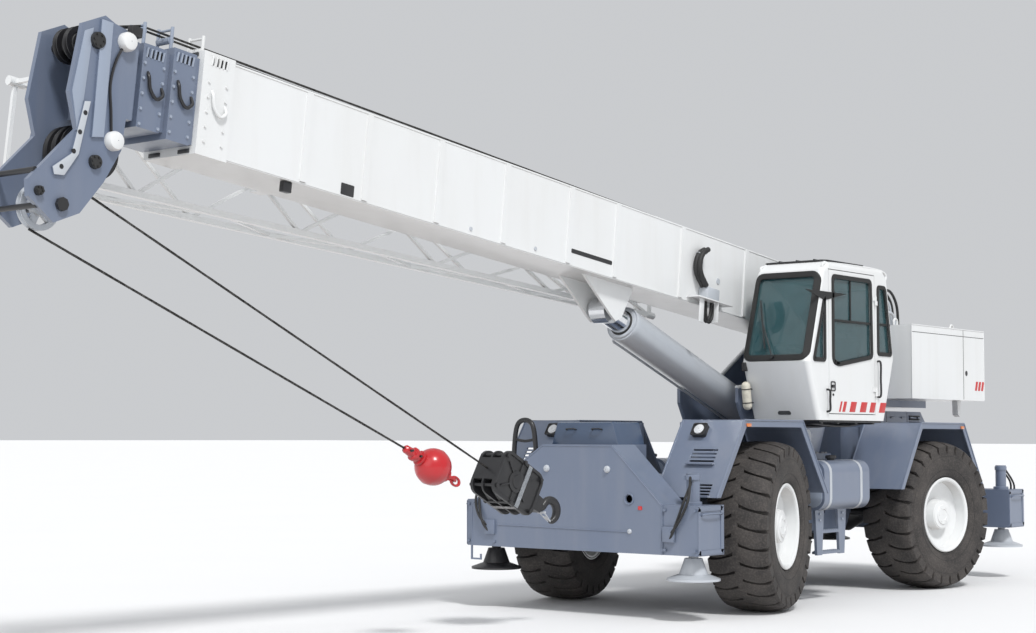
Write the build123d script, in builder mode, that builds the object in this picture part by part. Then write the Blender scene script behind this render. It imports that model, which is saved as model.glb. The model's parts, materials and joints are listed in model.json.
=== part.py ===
"""Rough-terrain mobile crane: carrier, slewing upper works, four-section boom and outriggers.

Millimetres. +X points the way the boom points, +Y to the cab side, +Z up. Shapes are drawn about
the slewing axis at ground level and shifted by SLEW_X when they are written.
"""

from build123d import *
from math import atan2, cos, degrees, hypot, pi, radians, sin
import os

os.makedirs("parts", exist_ok=True)

# ---------------------------------------------------------------- driving dimensions
FIT = 0.3          # clearance of a running or seated fit
CLEARANCE = 12     # clearance between moving pieces
PLATE = 12         # common plate thickness

# wheels and tyres
TYRE_RADIUS = 807.5
TYRE_WIDTH = 595
TYRE_FACETS = 20       # flats round the carcass
LUG_HEIGHT = 42
LUG_LENGTH = 150       # round the tyre
LUG_MIDDLE = 6         # a lug starts this far from the middle of the tread
LUG_SHOULDER = 95      # run of a lug's sloping shoulder
LUG_INSET = 34         # a lug ends this far inside the widest part
LUG_FOOT = 640         # radius that the lugs reach down to on the side wall
LUG_FLAT = 7.5          # a lug's flat crest below the round that its corners touch
LUG_PHASE = 4.5        # degrees that the tyre is turned, to stand between two lugs
LUG_SWEEP = 24         # degrees that a lug leans back from square across the tread
LUGS_PER_SIDE = 20
RIM_RADIUS = 402
RIM_BARREL = 380
RIM_FACE = 262     # rim lip from the wheel's centre plane
HUB_RADIUS = 172
SPINDLE_RADIUS = 125
AXLE_HEIGHT = 785
KINGPIN_Y = 845
KINGPIN_OFFSET = 255   # kingpin to wheel centre plane
KINGPIN_RADIUS = 38
DIFFERENTIAL_RADIUS = 215
DIFFERENTIAL_FLAT = 120    # half length of the round middle of the axle housing
AXLE_X = {"front": 1826, "rear": -1816}
STEER = {"front": 13.6, "rear": -9.6}   # degrees at rest, positive to the left

# carrier
CHASSIS_HALF_WIDTH = 430
CHASSIS_TOP = 1250
CHASSIS_BELLY = 620
CHASSIS_PLATE = 30
FENDER_TOP = 1785
FENDER_FOOT = 1080
FENDER_OUTER_Y = 1290
FENDER_INNER_Y = 610
FENDER_ARCH_TOP = 505      # half length of the arch at its top
FENDER_ARCH_FOOT = 955     # half length of the arch at its feet
FENDER_PLATE = 16
FENDER_FLANGE = 62
FENDER_GUSSET = 38
FENDER_GUSSET_X = 300
# bottom, top, middle across and width of each step plate on the front fender
FENDER_STEPS = [(1390, 1525, 985, 300), (1095, 1205, 1090, 240)]
FENDER_LIP = 45            # a step's lip stands out this far
STEP_SLOTS = 4
STEP_SLOT = 16
DECK_LENGTH = 560
DECK_WIDE_LENGTH = 365
DECK_TOP = 1556
DECK_HALF_WIDTH = 1278
DECK_TOP_HALF_WIDTH = 400
DECK_SHOULDER = 985        # height where the deck's sloping corners start
DECK_END_RECESS = 320      # the left end of the deck stops short of the jack
STOW_HOOK_BOTTOM = 440
STOW_HOOK_REACH = 130
TIE_DOWN_Y = 593
TIE_DOWN_Z = 1065
TIE_DOWN_BORE = 36
TIE_DOWN_EYE = 62          # outside radius of a rear tie-down lug
TIE_DOWN_THICKNESS = 30
REAR_LUG_Y = 350
REAR_LUG_Z = 780
HOOD_TOP = 1930
HOOD_FRONT = -1640         # behind the circle that the cab sweeps
HOOD_REAR = -3250
HOOD_LOW_FRONT = -1080     # lower part of the hood, under the cab's sweep
HOOD_LOW_TOP = 1740
HOOD_CHAMFER = 80
HOOD_SLOPE = 200           # run of the sloping rear end
HOOD_HALF_WIDTH = 418
HOOD_WALL = 20
LOUVRES = 4                # slots in each side of the hood
LOUVRE_X = -2880
LOUVRE_LENGTH = 260
ENGINE_X = -2300
ENGINE_BLOCK = (1250, 640, 520)

# outriggers
OUTRIGGER_X = {"front": 3020, "rear": -3680}
OUTRIGGER_BOTTOM = 575
OUTRIGGER_HEIGHT = 445
OUTRIGGER_TUBE = 212       # outside width of one beam tube
DECK_FRONT = OUTRIGGER_X["front"] + OUTRIGGER_TUBE
BEAM_WIDTH = 178
BEAM_HEIGHT = 400
JACK_Y = 1140
JACK_HOUSING_LENGTH = 380
JACK_TUBE_RADIUS = 62
JACK_TUBE_TOP = 1300
JACK_ROD_RADIUS = 44
FLOAT_RADIUS = 242
FLOAT_BOTTOM = 345

# slewing upper works
SLEW_RADIUS = 620
SLEW_RING_HEIGHT = 150
TURNTABLE_RADIUS = 780
TURNTABLE_PLATE = 60
FRAME_PLATE_Y = 335        # inner face of the turntable's side plates
FRAME_PLATE = 35
BOOM_PIVOT_X = -1600
BOOM_PIVOT_Z = 2900
BOOM_PIN_RADIUS = 60
COUNTERWEIGHT_FRONT = -1560
COUNTERWEIGHT_REAR = -3450
COUNTERWEIGHT_HALF_WIDTH = 1050
COUNTERWEIGHT_BOTTOM = 2060
COUNTERWEIGHT_TOP = 2880

# cab
CAB_INNER_Y = 480
CAB_OUTER_Y = 1250
CAB_FLOOR = 1800
CAB_ROOF = 3400
CAB_WALL = 45
CAB_EDGE_RADIUS = 55
GLASS = 6                  # pane thickness
GLASS_INSET = 16           # pane's outer face behind the wall's outer face
WINDSCREEN = (2435, 3265, 60)      # bottom, top, distance of its sides from the cab's sides
REAR_SCREEN = (2500, 3200, 70)
ROOF_WINDOW = (-90, 550, 75)       # rear edge, front edge, distance from the cab's sides
DOOR_FRONT = 690
DOOR_REAR = -300
DOOR_GAP = 8
DOOR_HINGES = (2100, 3050)
DOOR_HINGE_RADIUS = 13
DOOR_HINGE_LENGTH = 45

# boom, drawn level and then raised to its rest angle
BOOM_ELEVATION = 6.137
BOOM_Z = 2777              # underside of the boom where it crosses the slewing axis
BASE_WIDTH = 546
BASE_DEPTH = 736
BASE_WALL = 14
BASE_TAIL = -1950
BASE_NOSE = 8220
COLLAR_LENGTH = 300
BASE_NEST = (76, 96)       # section 2 is narrower and lower than the base by these
SECTION_NEST = (60, 70)    # each further section than the one before it
SECTION_STEP = 250         # how far each collar stands out of the one behind
SECTION_GAP = 40           # between neighbouring collars
COMB_SLOTS = 4             # slots near the top of a collar's side
COMB_PITCH = 42
COMB_HEIGHT = 62
COMB_DEPTH = 9
HEAD_PLATE = 40
HEAD_BAND = 16             # raised band and bracket on a head plate's outer face
ROOSTER_HOLES = 5

# lift cylinder
LIFT_FOOT_X = -450
LIFT_FOOT_Z = 1650
LIFT_HEAD_X = 2800
LIFT_HEAD_Z = 2830
LIFT_BARREL_RADIUS = 172
LIFT_ROD_RADIUS = 112
LIFT_ROD_TAIL = 720        # inner end of the rod from the foot pin
LIFT_BORE_START = 500

ROPE_RADIUS = 9.5
BALL_RADIUS = 150
BALL_LINK_RADIUS = 40
BALL_SOCKET_RADIUS = 45
BALL_BAND = 50             # half width of the ball's straight middle

SLEW_X = -2776             # slewing axis in the part's own frame
GROUND_LIFT = 21           # round tyres stand this much higher than loaded ones


def save(shape, label, placed=None):
    """Write one sub-part, moved first by its rest placement and then into the part's frame."""
    if placed is not None:
        shape = placed * shape
    shape = Location((SLEW_X, 0, GROUND_LIFT)) * shape
    shape.label = label
    export_step(shape, f"parts/{label}.step")


def side_plane(y):
    """Side view sketch plane: sketch x is X, sketch y is Z, and extruding goes towards -Y."""
    return Plane.XZ.offset(-y)


def front_plane(x):
    """Front view sketch plane: sketch x is Y, sketch y is Z, and extruding goes towards +X."""
    return Plane(origin=(x, 0, 0), x_dir=(0, 1, 0), z_dir=(1, 0, 0))


def boom_frame(x, z):
    """Turn a point at the boom's rest pose into the level frame in which the boom is drawn."""
    e = radians(BOOM_ELEVATION)
    return x * cos(e) + (z - BOOM_Z) * sin(e), (z - BOOM_Z) * cos(e) - x * sin(e)


BOOM_TILT = Location((0, 0, BOOM_Z), (0, -BOOM_ELEVATION, 0))

# ---------------------------------------------------------------- carrier
slew_ring_bottom = CHASSIS_TOP
turntable_bottom = slew_ring_bottom + SLEW_RING_HEIGHT + FIT
turntable_top = turntable_bottom + TURNTABLE_PLATE
axle_tube_radius = 112
arch_clear = AXLE_HEIGHT + DIFFERENTIAL_RADIUS + CLEARANCE
arch_half = 420

with BuildPart() as chassis:
    front_end = DECK_FRONT - DECK_LENGTH - FIT
    rear_end = OUTRIGGER_X["rear"] + OUTRIGGER_TUBE + FIT
    with BuildSketch(side_plane(CHASSIS_HALF_WIDTH)) as girder:
        Polygon(
            (rear_end, CHASSIS_TOP), (rear_end, OUTRIGGER_BOTTOM),
            (AXLE_X["rear"] - arch_half - 200, OUTRIGGER_BOTTOM),
            (AXLE_X["rear"] - arch_half, arch_clear), (AXLE_X["rear"] + arch_half, arch_clear),
            (AXLE_X["rear"] + arch_half + 250, CHASSIS_BELLY),
            (AXLE_X["front"] - arch_half - 250, CHASSIS_BELLY),
            (AXLE_X["front"] - arch_half, arch_clear), (AXLE_X["front"] + arch_half, arch_clear),
            (front_end, OUTRIGGER_BOTTOM + 200), (front_end, CHASSIS_TOP),
            align=None,
        )
    extrude(amount=2 * CHASSIS_HALF_WIDTH)
    with BuildSketch(side_plane(CHASSIS_HALF_WIDTH - CHASSIS_PLATE)):
        add(offset(girder.sketch_local, amount=-CHASSIS_PLATE, mode=Mode.PRIVATE))
    extrude(amount=2 * (CHASSIS_HALF_WIDTH - CHASSIS_PLATE), mode=Mode.SUBTRACT)
    with BuildSketch(side_plane(CHASSIS_HALF_WIDTH + 5)):
        with Locations((-600, 900), (600, 900), (-2900, 950)):
            Circle(120)
    extrude(amount=2 * CHASSIS_HALF_WIDTH + 10, mode=Mode.SUBTRACT)
save(chassis.part, "chassis")

with BuildPart() as slew_ring:
    with BuildSketch(Plane.XY.offset(slew_ring_bottom)):
        Circle(SLEW_RADIUS)
        Circle(SLEW_RADIUS - 150, mode=Mode.SUBTRACT)
    extrude(amount=SLEW_RING_HEIGHT)
save(slew_ring.part, "slew_ring")

box_top = OUTRIGGER_BOTTOM + OUTRIGGER_HEIGHT
deck_bottom = box_top + FIT
deck_wide_half = DECK_HALF_WIDTH - DECK_END_RECESS
deck_narrow = [
    (-DECK_TOP_HALF_WIDTH, deck_bottom), (DECK_TOP_HALF_WIDTH, deck_bottom),
    (DECK_TOP_HALF_WIDTH, DECK_TOP), (-DECK_TOP_HALF_WIDTH, DECK_TOP),
]
deck_wide = [
    (-deck_wide_half, deck_bottom), (deck_wide_half, deck_bottom),
    (DECK_TOP_HALF_WIDTH, DECK_TOP), (-DECK_TOP_HALF_WIDTH, DECK_TOP),
]
with BuildPart() as front_deck:
    for outline, length in ((deck_narrow, DECK_LENGTH), (deck_wide, DECK_WIDE_LENGTH)):
        with BuildSketch(front_plane(DECK_FRONT - length)):
            Polygon(*outline, align=None)
        extrude(amount=length - PLATE)
    for outline, length in ((deck_narrow, DECK_LENGTH), (deck_wide, DECK_WIDE_LENGTH)):
        with BuildSketch(front_plane(DECK_FRONT - length + PLATE)):
            Polygon(*outline, align=None)
            offset(amount=-PLATE, mode=Mode.REPLACE)
        extrude(amount=length - 2 * PLATE, mode=Mode.SUBTRACT)
    with BuildSketch(front_plane(DECK_FRONT - PLATE)):
        Polygon(
            (-DECK_HALF_WIDTH, OUTRIGGER_BOTTOM), (deck_wide_half, OUTRIGGER_BOTTOM),
            (deck_wide_half, box_top), (DECK_TOP_HALF_WIDTH, DECK_TOP),
            (-DECK_TOP_HALF_WIDTH, DECK_TOP), (-DECK_HALF_WIDTH, DECK_SHOULDER),
            align=None,
        )
        with Locations((-TIE_DOWN_Y, TIE_DOWN_Z), (TIE_DOWN_Y, TIE_DOWN_Z)):
            Circle(TIE_DOWN_BORE, mode=Mode.SUBTRACT)
        # stowing hook that hangs from the plate's far lower corner
        with BuildLine():
            Polyline(
                (-DECK_HALF_WIDTH, OUTRIGGER_BOTTOM + 5), (-DECK_HALF_WIDTH, STOW_HOOK_BOTTOM),
                (-DECK_HALF_WIDTH + STOW_HOOK_REACH, STOW_HOOK_BOTTOM),
                (-DECK_HALF_WIDTH + STOW_HOOK_REACH, STOW_HOOK_BOTTOM + 55),
                (-DECK_HALF_WIDTH + STOW_HOOK_REACH - 16, STOW_HOOK_BOTTOM + 55),
                (-DECK_HALF_WIDTH + STOW_HOOK_REACH - 16, STOW_HOOK_BOTTOM + 16),
                (-DECK_HALF_WIDTH + 18, STOW_HOOK_BOTTOM + 16),
                (-DECK_HALF_WIDTH + 18, OUTRIGGER_BOTTOM + 5), close=True,
            )
        make_face()
    extrude(amount=PLATE)
save(front_deck.part, "front_deck")

tube_wall = 12
for end, centre_x in OUTRIGGER_X.items():
    box_half = JACK_Y - JACK_HOUSING_LENGTH / 2 - CLEARANCE
    with BuildPart() as outrigger_box:
        with BuildSketch(side_plane(box_half)):
            for side in (-1, 1):
                with Locations((centre_x + side * OUTRIGGER_TUBE / 2, (OUTRIGGER_BOTTOM + box_top) / 2)):
                    Rectangle(OUTRIGGER_TUBE, OUTRIGGER_HEIGHT)
            for side in (-1, 1):
                with Locations((centre_x + side * OUTRIGGER_TUBE / 2, (OUTRIGGER_BOTTOM + box_top) / 2)):
                    Rectangle(
                        OUTRIGGER_TUBE - 2 * tube_wall, OUTRIGGER_HEIGHT - 2 * tube_wall,
                        mode=Mode.SUBTRACT,
                    )
        extrude(amount=2 * box_half)
        if end == "rear":
            lug_x = centre_x - OUTRIGGER_TUBE - TIE_DOWN_EYE
            for y in (-REAR_LUG_Y, REAR_LUG_Y):
                with BuildSketch(side_plane(y + TIE_DOWN_THICKNESS / 2)):
                    with Locations((lug_x, REAR_LUG_Z)):
                        Circle(TIE_DOWN_EYE)
                    with Locations((lug_x + TIE_DOWN_EYE / 2, REAR_LUG_Z)):
                        Rectangle(TIE_DOWN_EYE, 2 * TIE_DOWN_EYE)
                    with Locations((lug_x, REAR_LUG_Z)):
                        Circle(TIE_DOWN_BORE, mode=Mode.SUBTRACT)
                extrude(amount=TIE_DOWN_THICKNESS)
    placed = Location((-PLATE - FIT, 0, 0)) if end == "front" else None
    save(outrigger_box.part, f"outrigger_box_{end}", placed)

# ---------------------------------------------------------------- outrigger beams and jacks
# end, side sign, side name, which of the two tubes (sign along X)
BEAMS = [
    ("front", 1, "left", 1),
    ("front", -1, "right", -1),
    ("rear", 1, "left", -1),
    ("rear", -1, "right", 1),
]
beam_middle = (OUTRIGGER_BOTTOM + box_top) / 2
beam_floor = OUTRIGGER_BOTTOM + tube_wall + FIT
for end, sign, side, tube in BEAMS:
    shift = -PLATE - FIT if end == "front" else 0
    jack_x = OUTRIGGER_X[end] + shift
    tube_x = jack_x + tube * OUTRIGGER_TUBE / 2
    housing_inner = JACK_Y - JACK_HOUSING_LENGTH / 2
    with BuildPart() as beam:
        with BuildSketch(side_plane(housing_inner + 10)):
            with Locations((tube_x, beam_floor + BEAM_HEIGHT / 2)):
                Rectangle(BEAM_WIDTH, BEAM_HEIGHT)
                Rectangle(BEAM_WIDTH - 24, BEAM_HEIGHT - 24, mode=Mode.SUBTRACT)
        extrude(amount=2 * housing_inner - CLEARANCE)
        with BuildSketch(Plane.XY.offset(OUTRIGGER_BOTTOM)):
            with Locations((jack_x, JACK_Y)):
                Rectangle(2 * OUTRIGGER_TUBE, JACK_HOUSING_LENGTH)
        extrude(amount=OUTRIGGER_HEIGHT)
        with BuildSketch(Plane.XY.offset(OUTRIGGER_BOTTOM)):
            with Locations((jack_x, JACK_Y)):
                Circle(JACK_TUBE_RADIUS)
        extrude(amount=JACK_TUBE_TOP - OUTRIGGER_BOTTOM)
        with BuildSketch(Plane.XY.offset(OUTRIGGER_BOTTOM)):
            with Locations((jack_x, JACK_Y)):
                Circle(JACK_ROD_RADIUS + FIT)
        extrude(amount=JACK_TUBE_TOP - OUTRIGGER_BOTTOM - 30, mode=Mode.SUBTRACT)
    with BuildPart() as jack:
        with BuildSketch(side_plane(JACK_Y)):
            Polygon(
                (jack_x, FLOAT_BOTTOM), (jack_x + FLOAT_RADIUS, FLOAT_BOTTOM),
                (jack_x + FLOAT_RADIUS, FLOAT_BOTTOM + 20), (jack_x + 130, FLOAT_BOTTOM + 60),
                (jack_x + 80, FLOAT_BOTTOM + 200), (jack_x + JACK_ROD_RADIUS, FLOAT_BOTTOM + 200),
                (jack_x + JACK_ROD_RADIUS, JACK_TUBE_TOP - 60), (jack_x, JACK_TUBE_TOP - 60),
                align=None,
            )
        revolve(axis=Axis((jack_x, JACK_Y, 0), (0, 0, 1)))
    for label, shape in (("beam", beam.part), ("jack", jack.part)):
        handed = shape if sign > 0 else shape.mirror(Plane.XZ)
        save(handed, f"outrigger_{label}_{end}_{side}")

# ---------------------------------------------------------------- fenders


def arch_outline(centre_x, grow):
    """Arch outline, grown outwards by a plate thickness or a flange width."""
    top = FENDER_TOP - FENDER_FLANGE + grow
    half_top = FENDER_ARCH_TOP + grow * 0.55
    half_foot = FENDER_ARCH_FOOT + grow * 1.1
    return [
        (centre_x - half_foot, FENDER_FOOT), (centre_x - half_top, top),
        (centre_x + half_top, top), (centre_x + half_foot, FENDER_FOOT),
    ]


def leg_face_x(centre_x, z):
    """Outer face of a fender's front leg at a height."""
    half_top = FENDER_ARCH_TOP + FENDER_FLANGE * 0.55
    half_foot = FENDER_ARCH_FOOT + FENDER_FLANGE * 1.1
    share = (FENDER_TOP - z) / (FENDER_TOP - FENDER_FOOT)
    return centre_x + half_top + share * (half_foot - half_top)


for end, centre_x in AXLE_X.items():
    with BuildPart() as fenders:
        with BuildSketch(side_plane(FENDER_OUTER_Y)):
            Polygon(*arch_outline(centre_x, FENDER_FLANGE), align=None)
            Polygon(*arch_outline(centre_x, FENDER_FLANGE - FENDER_PLATE), align=None, mode=Mode.SUBTRACT)
        extrude(amount=FENDER_OUTER_Y - FENDER_INNER_Y)
        with BuildSketch(side_plane(FENDER_OUTER_Y)):
            Polygon(*arch_outline(centre_x, FENDER_FLANGE), align=None)
            Polygon(*arch_outline(centre_x, 0), align=None, mode=Mode.SUBTRACT)
        extrude(amount=FENDER_PLATE)
        # gussets that carry the fender from the chassis side, over the tyre
        post_outer = CHASSIS_HALF_WIDTH + FENDER_GUSSET
        under = FENDER_TOP - FENDER_PLATE
        for x in (centre_x - FENDER_GUSSET_X, centre_x + FENDER_GUSSET_X):
            with BuildSketch(front_plane(x - FENDER_GUSSET / 2)):
                Polygon(
                    (CHASSIS_HALF_WIDTH + FIT, CHASSIS_TOP - 180), (post_outer, CHASSIS_TOP - 180),
                    (post_outer, under - 130), (FENDER_INNER_Y + 180, under - 60),
                    (FENDER_INNER_Y + 180, under), (CHASSIS_HALF_WIDTH + FIT, under),
                    align=None,
                )
            extrude(amount=FENDER_GUSSET)
        if end == "front":
            for low, high, y, width in FENDER_STEPS:
                face_x = leg_face_x(centre_x, low)
                with BuildSketch(front_plane(leg_face_x(centre_x, high) - 2 * FENDER_LIP)):
                    with Locations((y, (low + high) / 2)):
                        with GridLocations(0, (high - low) / STEP_SLOTS, 1, STEP_SLOTS):
                            Rectangle(width - 2 * STEP_SLOT, STEP_SLOT)
                extrude(amount=4 * FENDER_LIP, mode=Mode.SUBTRACT)
                with Locations((face_x + FENDER_LIP / 2 - 5, y, low - PLATE / 2)):
                    Box(FENDER_LIP + 10, width, PLATE)
        mirror(about=Plane.XZ)
    save(fenders.part, f"fenders_{end}")

# ---------------------------------------------------------------- axles, knuckles and wheels
ear_inner = 150
ear_outer = 195
knuckle_half = 105
housing_end = KINGPIN_Y - knuckle_half - CLEARANCE - 20
for end, centre_x in AXLE_X.items():
    with BuildPart() as axle:
        with BuildSketch(Plane.XZ):
            with Locations((centre_x, AXLE_HEIGHT)):
                Circle(axle_tube_radius)
        extrude(amount=housing_end, both=True)
        with BuildSketch(Plane.YZ.offset(centre_x)):
            Polygon(
                (-300, AXLE_HEIGHT), (-300, AXLE_HEIGHT + axle_tube_radius),
                (-DIFFERENTIAL_FLAT, AXLE_HEIGHT + DIFFERENTIAL_RADIUS),
                (DIFFERENTIAL_FLAT, AXLE_HEIGHT + DIFFERENTIAL_RADIUS),
                (300, AXLE_HEIGHT + axle_tube_radius), (300, AXLE_HEIGHT),
                align=None,
            )
        revolve(axis=Axis((centre_x, 0, AXLE_HEIGHT), (0, 1, 0)))
        for sign in (-1, 1):
            with BuildSketch(Plane.YZ.offset(centre_x)):
                Polygon(
                    (sign * (housing_end - 60), AXLE_HEIGHT - axle_tube_radius),
                    (sign * housing_end, AXLE_HEIGHT - ear_outer),
                    (sign * (KINGPIN_Y + 80), AXLE_HEIGHT - ear_outer),
                    (sign * (KINGPIN_Y + 80), AXLE_HEIGHT - ear_inner),
                    (sign * housing_end, AXLE_HEIGHT - ear_inner),
                    (sign * housing_end, AXLE_HEIGHT + ear_inner),
                    (sign * (KINGPIN_Y + 80), AXLE_HEIGHT + ear_inner),
                    (sign * (KINGPIN_Y + 80), AXLE_HEIGHT + ear_outer),
                    (sign * housing_end, AXLE_HEIGHT + ear_outer),
                    (sign * (housing_end - 60), AXLE_HEIGHT + axle_tube_radius),
                    align=None,
                )
            extrude(amount=90, both=True)
        for sign in (-1, 1):
            with Locations((centre_x, sign * 330, (AXLE_HEIGHT + arch_clear) / 2)):
                Box(260, 120, arch_clear - AXLE_HEIGHT - 2 * FIT)
        with BuildSketch(Plane.XY.offset(AXLE_HEIGHT - ear_outer)):
            with Locations((centre_x, -KINGPIN_Y), (centre_x, KINGPIN_Y)):
                Circle(KINGPIN_RADIUS + FIT)
        extrude(amount=2 * ear_outer, mode=Mode.SUBTRACT)
    save(axle.part, f"axle_{end}")

# Wheel pieces are drawn at the origin with the spin axis along +Y, outboard.
with BuildPart() as knuckle:
    with BuildSketch(Plane.XY):
        with Locations((0, -KINGPIN_OFFSET)):
            Rectangle(2 * knuckle_half - 30, 2 * knuckle_half)
    extrude(amount=ear_inner - FIT, both=True)
    with BuildSketch(Plane.XY):
        with Locations((0, -KINGPIN_OFFSET)):
            Circle(KINGPIN_RADIUS)
    extrude(amount=ear_outer, both=True)
    with BuildSketch(Plane.XZ.offset(KINGPIN_OFFSET - knuckle_half + 10)):
        Circle(SPINDLE_RADIUS)
    extrude(amount=-(KINGPIN_OFFSET - knuckle_half + 10 + 50))

with BuildPart() as rim:
    with BuildSketch(Plane.XY):
        Polygon(
            (RIM_BARREL - 16, -255), (RIM_RADIUS, -255), (RIM_BARREL, -238),
            (RIM_BARREL, RIM_FACE - 26), (RIM_RADIUS, RIM_FACE - 20), (RIM_RADIUS, RIM_FACE),
            (RIM_BARREL - 14, RIM_FACE - 12), (RIM_BARREL - 22, 140), (HUB_RADIUS, 100),
            (HUB_RADIUS - 14, 205), (0, 215), (0, 60), (SPINDLE_RADIUS + FIT, 60),
            (SPINDLE_RADIUS + FIT, -60), (HUB_RADIUS, -60), (HUB_RADIUS, 76),
            (RIM_BARREL - 16, 120), align=None,
        )
    revolve(axis=Axis.Y)

carcass = TYRE_RADIUS - LUG_HEIGHT
half_tyre = TYRE_WIDTH / 2
lug_angle = 360 / LUGS_PER_SIDE
corner_share = cos(pi / TYRE_FACETS)


def facet_solid(stations):
    """Round body of flat facets about Y, from (place across, radius to a facet's corner) stations."""
    with BuildPart() as body:
        for across, radius in stations:
            plane = Plane(origin=(0, across, 0), x_dir=(1, 0, 0), z_dir=(0, 1, 0))
            with BuildSketch(plane):
                RegularPolygon(radius, TYRE_FACETS)
        loft(ruled=True)
    return body.part


def lug(sign, turn):
    """One tread lug: from the middle of the tread out and down over the shoulder, leaning back."""
    lean = radians(LUG_SWEEP)
    outer = (half_tyre - LUG_INSET) / cos(lean)
    crest = TYRE_RADIUS - LUG_FLAT
    plane = Plane(
        origin=((outer - LUG_SHOULDER) / 2 * sin(lean), 0, 0),
        x_dir=(-sin(lean), sign * cos(lean), 0), z_dir=(sign * cos(lean), sin(lean), 0),
    )
    with BuildPart() as one:
        with BuildSketch(plane):
            Polygon(
                (LUG_MIDDLE, carcass - 40), (LUG_MIDDLE, crest), (outer - LUG_SHOULDER, crest),
                (outer, LUG_FOOT + 40), (outer - 60, LUG_FOOT), align=None,
            )
        extrude(amount=LUG_LENGTH / 2, both=True)
    return Location((0, 0, 0), (0, turn, 0)) * one.part


# stations across the tyre, with the carcass radius at each
CARCASS = [
    (28 - RIM_FACE, RIM_RADIUS + 6), (-half_tyre, 580), (80 - half_tyre, carcass),
    (half_tyre - 80, carcass), (half_tyre, 580), (RIM_FACE - 28, RIM_RADIUS + 6),
]
BORE = [(28 - RIM_FACE, RIM_BARREL + FIT), (RIM_FACE - 28, RIM_BARREL + FIT)]
carcass_body = facet_solid([(across, radius / corner_share) for across, radius in CARCASS])
bore_body = facet_solid([(across, radius / corner_share) for across, radius in BORE])
lugs = []
for index in range(LUGS_PER_SIDE):
    lugs.append(lug(1, index * lug_angle))
    lugs.append(lug(-1, (index + 0.5) * lug_angle))
left_tyre = Location((0, 0, 0), (0, LUG_PHASE, 0)) * (carcass_body.fuse(*lugs) - bore_body)

# end, side, side sign
CORNERS = [("front", "left", 1), ("front", "right", -1), ("rear", "left", 1), ("rear", "right", -1)]
for end, side, sign in CORNERS:
    place = (
        Location((AXLE_X[end], sign * KINGPIN_Y, AXLE_HEIGHT), (0, 0, STEER[end]))
        * Location((0, sign * KINGPIN_OFFSET, 0))
    )
    for label, shape in (("knuckle", knuckle.part), ("rim", rim.part), ("tyre", left_tyre)):
        handed = shape if sign > 0 else shape.mirror(Plane.XZ)
        save(handed, f"{label}_{end}_{side}", place)

# ---------------------------------------------------------------- engine, hood, tanks, ladder
def hood_outline(inset):
    """Side outline of the hood, drawn inwards by a wall thickness."""
    top = HOOD_TOP - inset
    low_top = HOOD_LOW_TOP - inset
    foot = CHASSIS_TOP + FIT if inset == 0 else CHASSIS_TOP
    return [
        (HOOD_LOW_FRONT - inset, foot), (HOOD_LOW_FRONT - inset, low_top),
        (HOOD_FRONT - inset, low_top), (HOOD_FRONT - inset, top - HOOD_CHAMFER),
        (HOOD_FRONT - HOOD_CHAMFER - inset / 2, top), (HOOD_REAR + HOOD_SLOPE + inset / 2, top),
        (HOOD_REAR + inset, top - HOOD_SLOPE), (HOOD_REAR + inset, foot),
    ]


with BuildPart() as engine_hood:
    with BuildSketch(side_plane(HOOD_HALF_WIDTH)):
        Polygon(*hood_outline(0), align=None)
    extrude(amount=2 * HOOD_HALF_WIDTH)
    with BuildSketch(side_plane(HOOD_HALF_WIDTH - HOOD_WALL)):
        Polygon(*hood_outline(HOOD_WALL), align=None)
    extrude(amount=2 * (HOOD_HALF_WIDTH - HOOD_WALL), mode=Mode.SUBTRACT)
    with BuildSketch(side_plane(HOOD_HALF_WIDTH + 5)):
        with Locations((LOUVRE_X, HOOD_TOP - 110)):
            with GridLocations(0, 36, 1, LOUVRES):
                Rectangle(LOUVRE_LENGTH, 18)
    extrude(amount=2 * HOOD_HALF_WIDTH + 10, mode=Mode.SUBTRACT)
save(engine_hood.part, "engine_hood")

with BuildPart() as engine:
    with Locations((ENGINE_X, 0, CHASSIS_TOP + FIT + ENGINE_BLOCK[2] / 2)):
        Box(*ENGINE_BLOCK)
save(engine.part, "engine")

with BuildPart() as side_tanks:
    with BuildSketch(front_plane(-180)):
        with Locations((940, 1148)):
            RectangleRounded(590, 496, 120)
    extrude(amount=950)
    for x in (0, 600):
        with Locations((x, (CHASSIS_HALF_WIDTH + FIT + 700) / 2, 1050)):
            Box(120, 700 - CHASSIS_HALF_WIDTH - FIT, 240)
    mirror(about=Plane.XZ)
save(side_tanks.part, "side_tanks")

with BuildPart() as ladder:
    with BuildSketch(side_plane(1105)):
        for x in (180, 640):
            Polygon((x - 90, 899.7), (x - 50, 450), (x + 50, 450), (x + 90, 899.7), align=None)
    extrude(amount=30)
    for z in (470, 680):
        with Locations((410, 1060, z)):
            Box(460, 90, 25)
save(ladder.part, "ladder")

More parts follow.
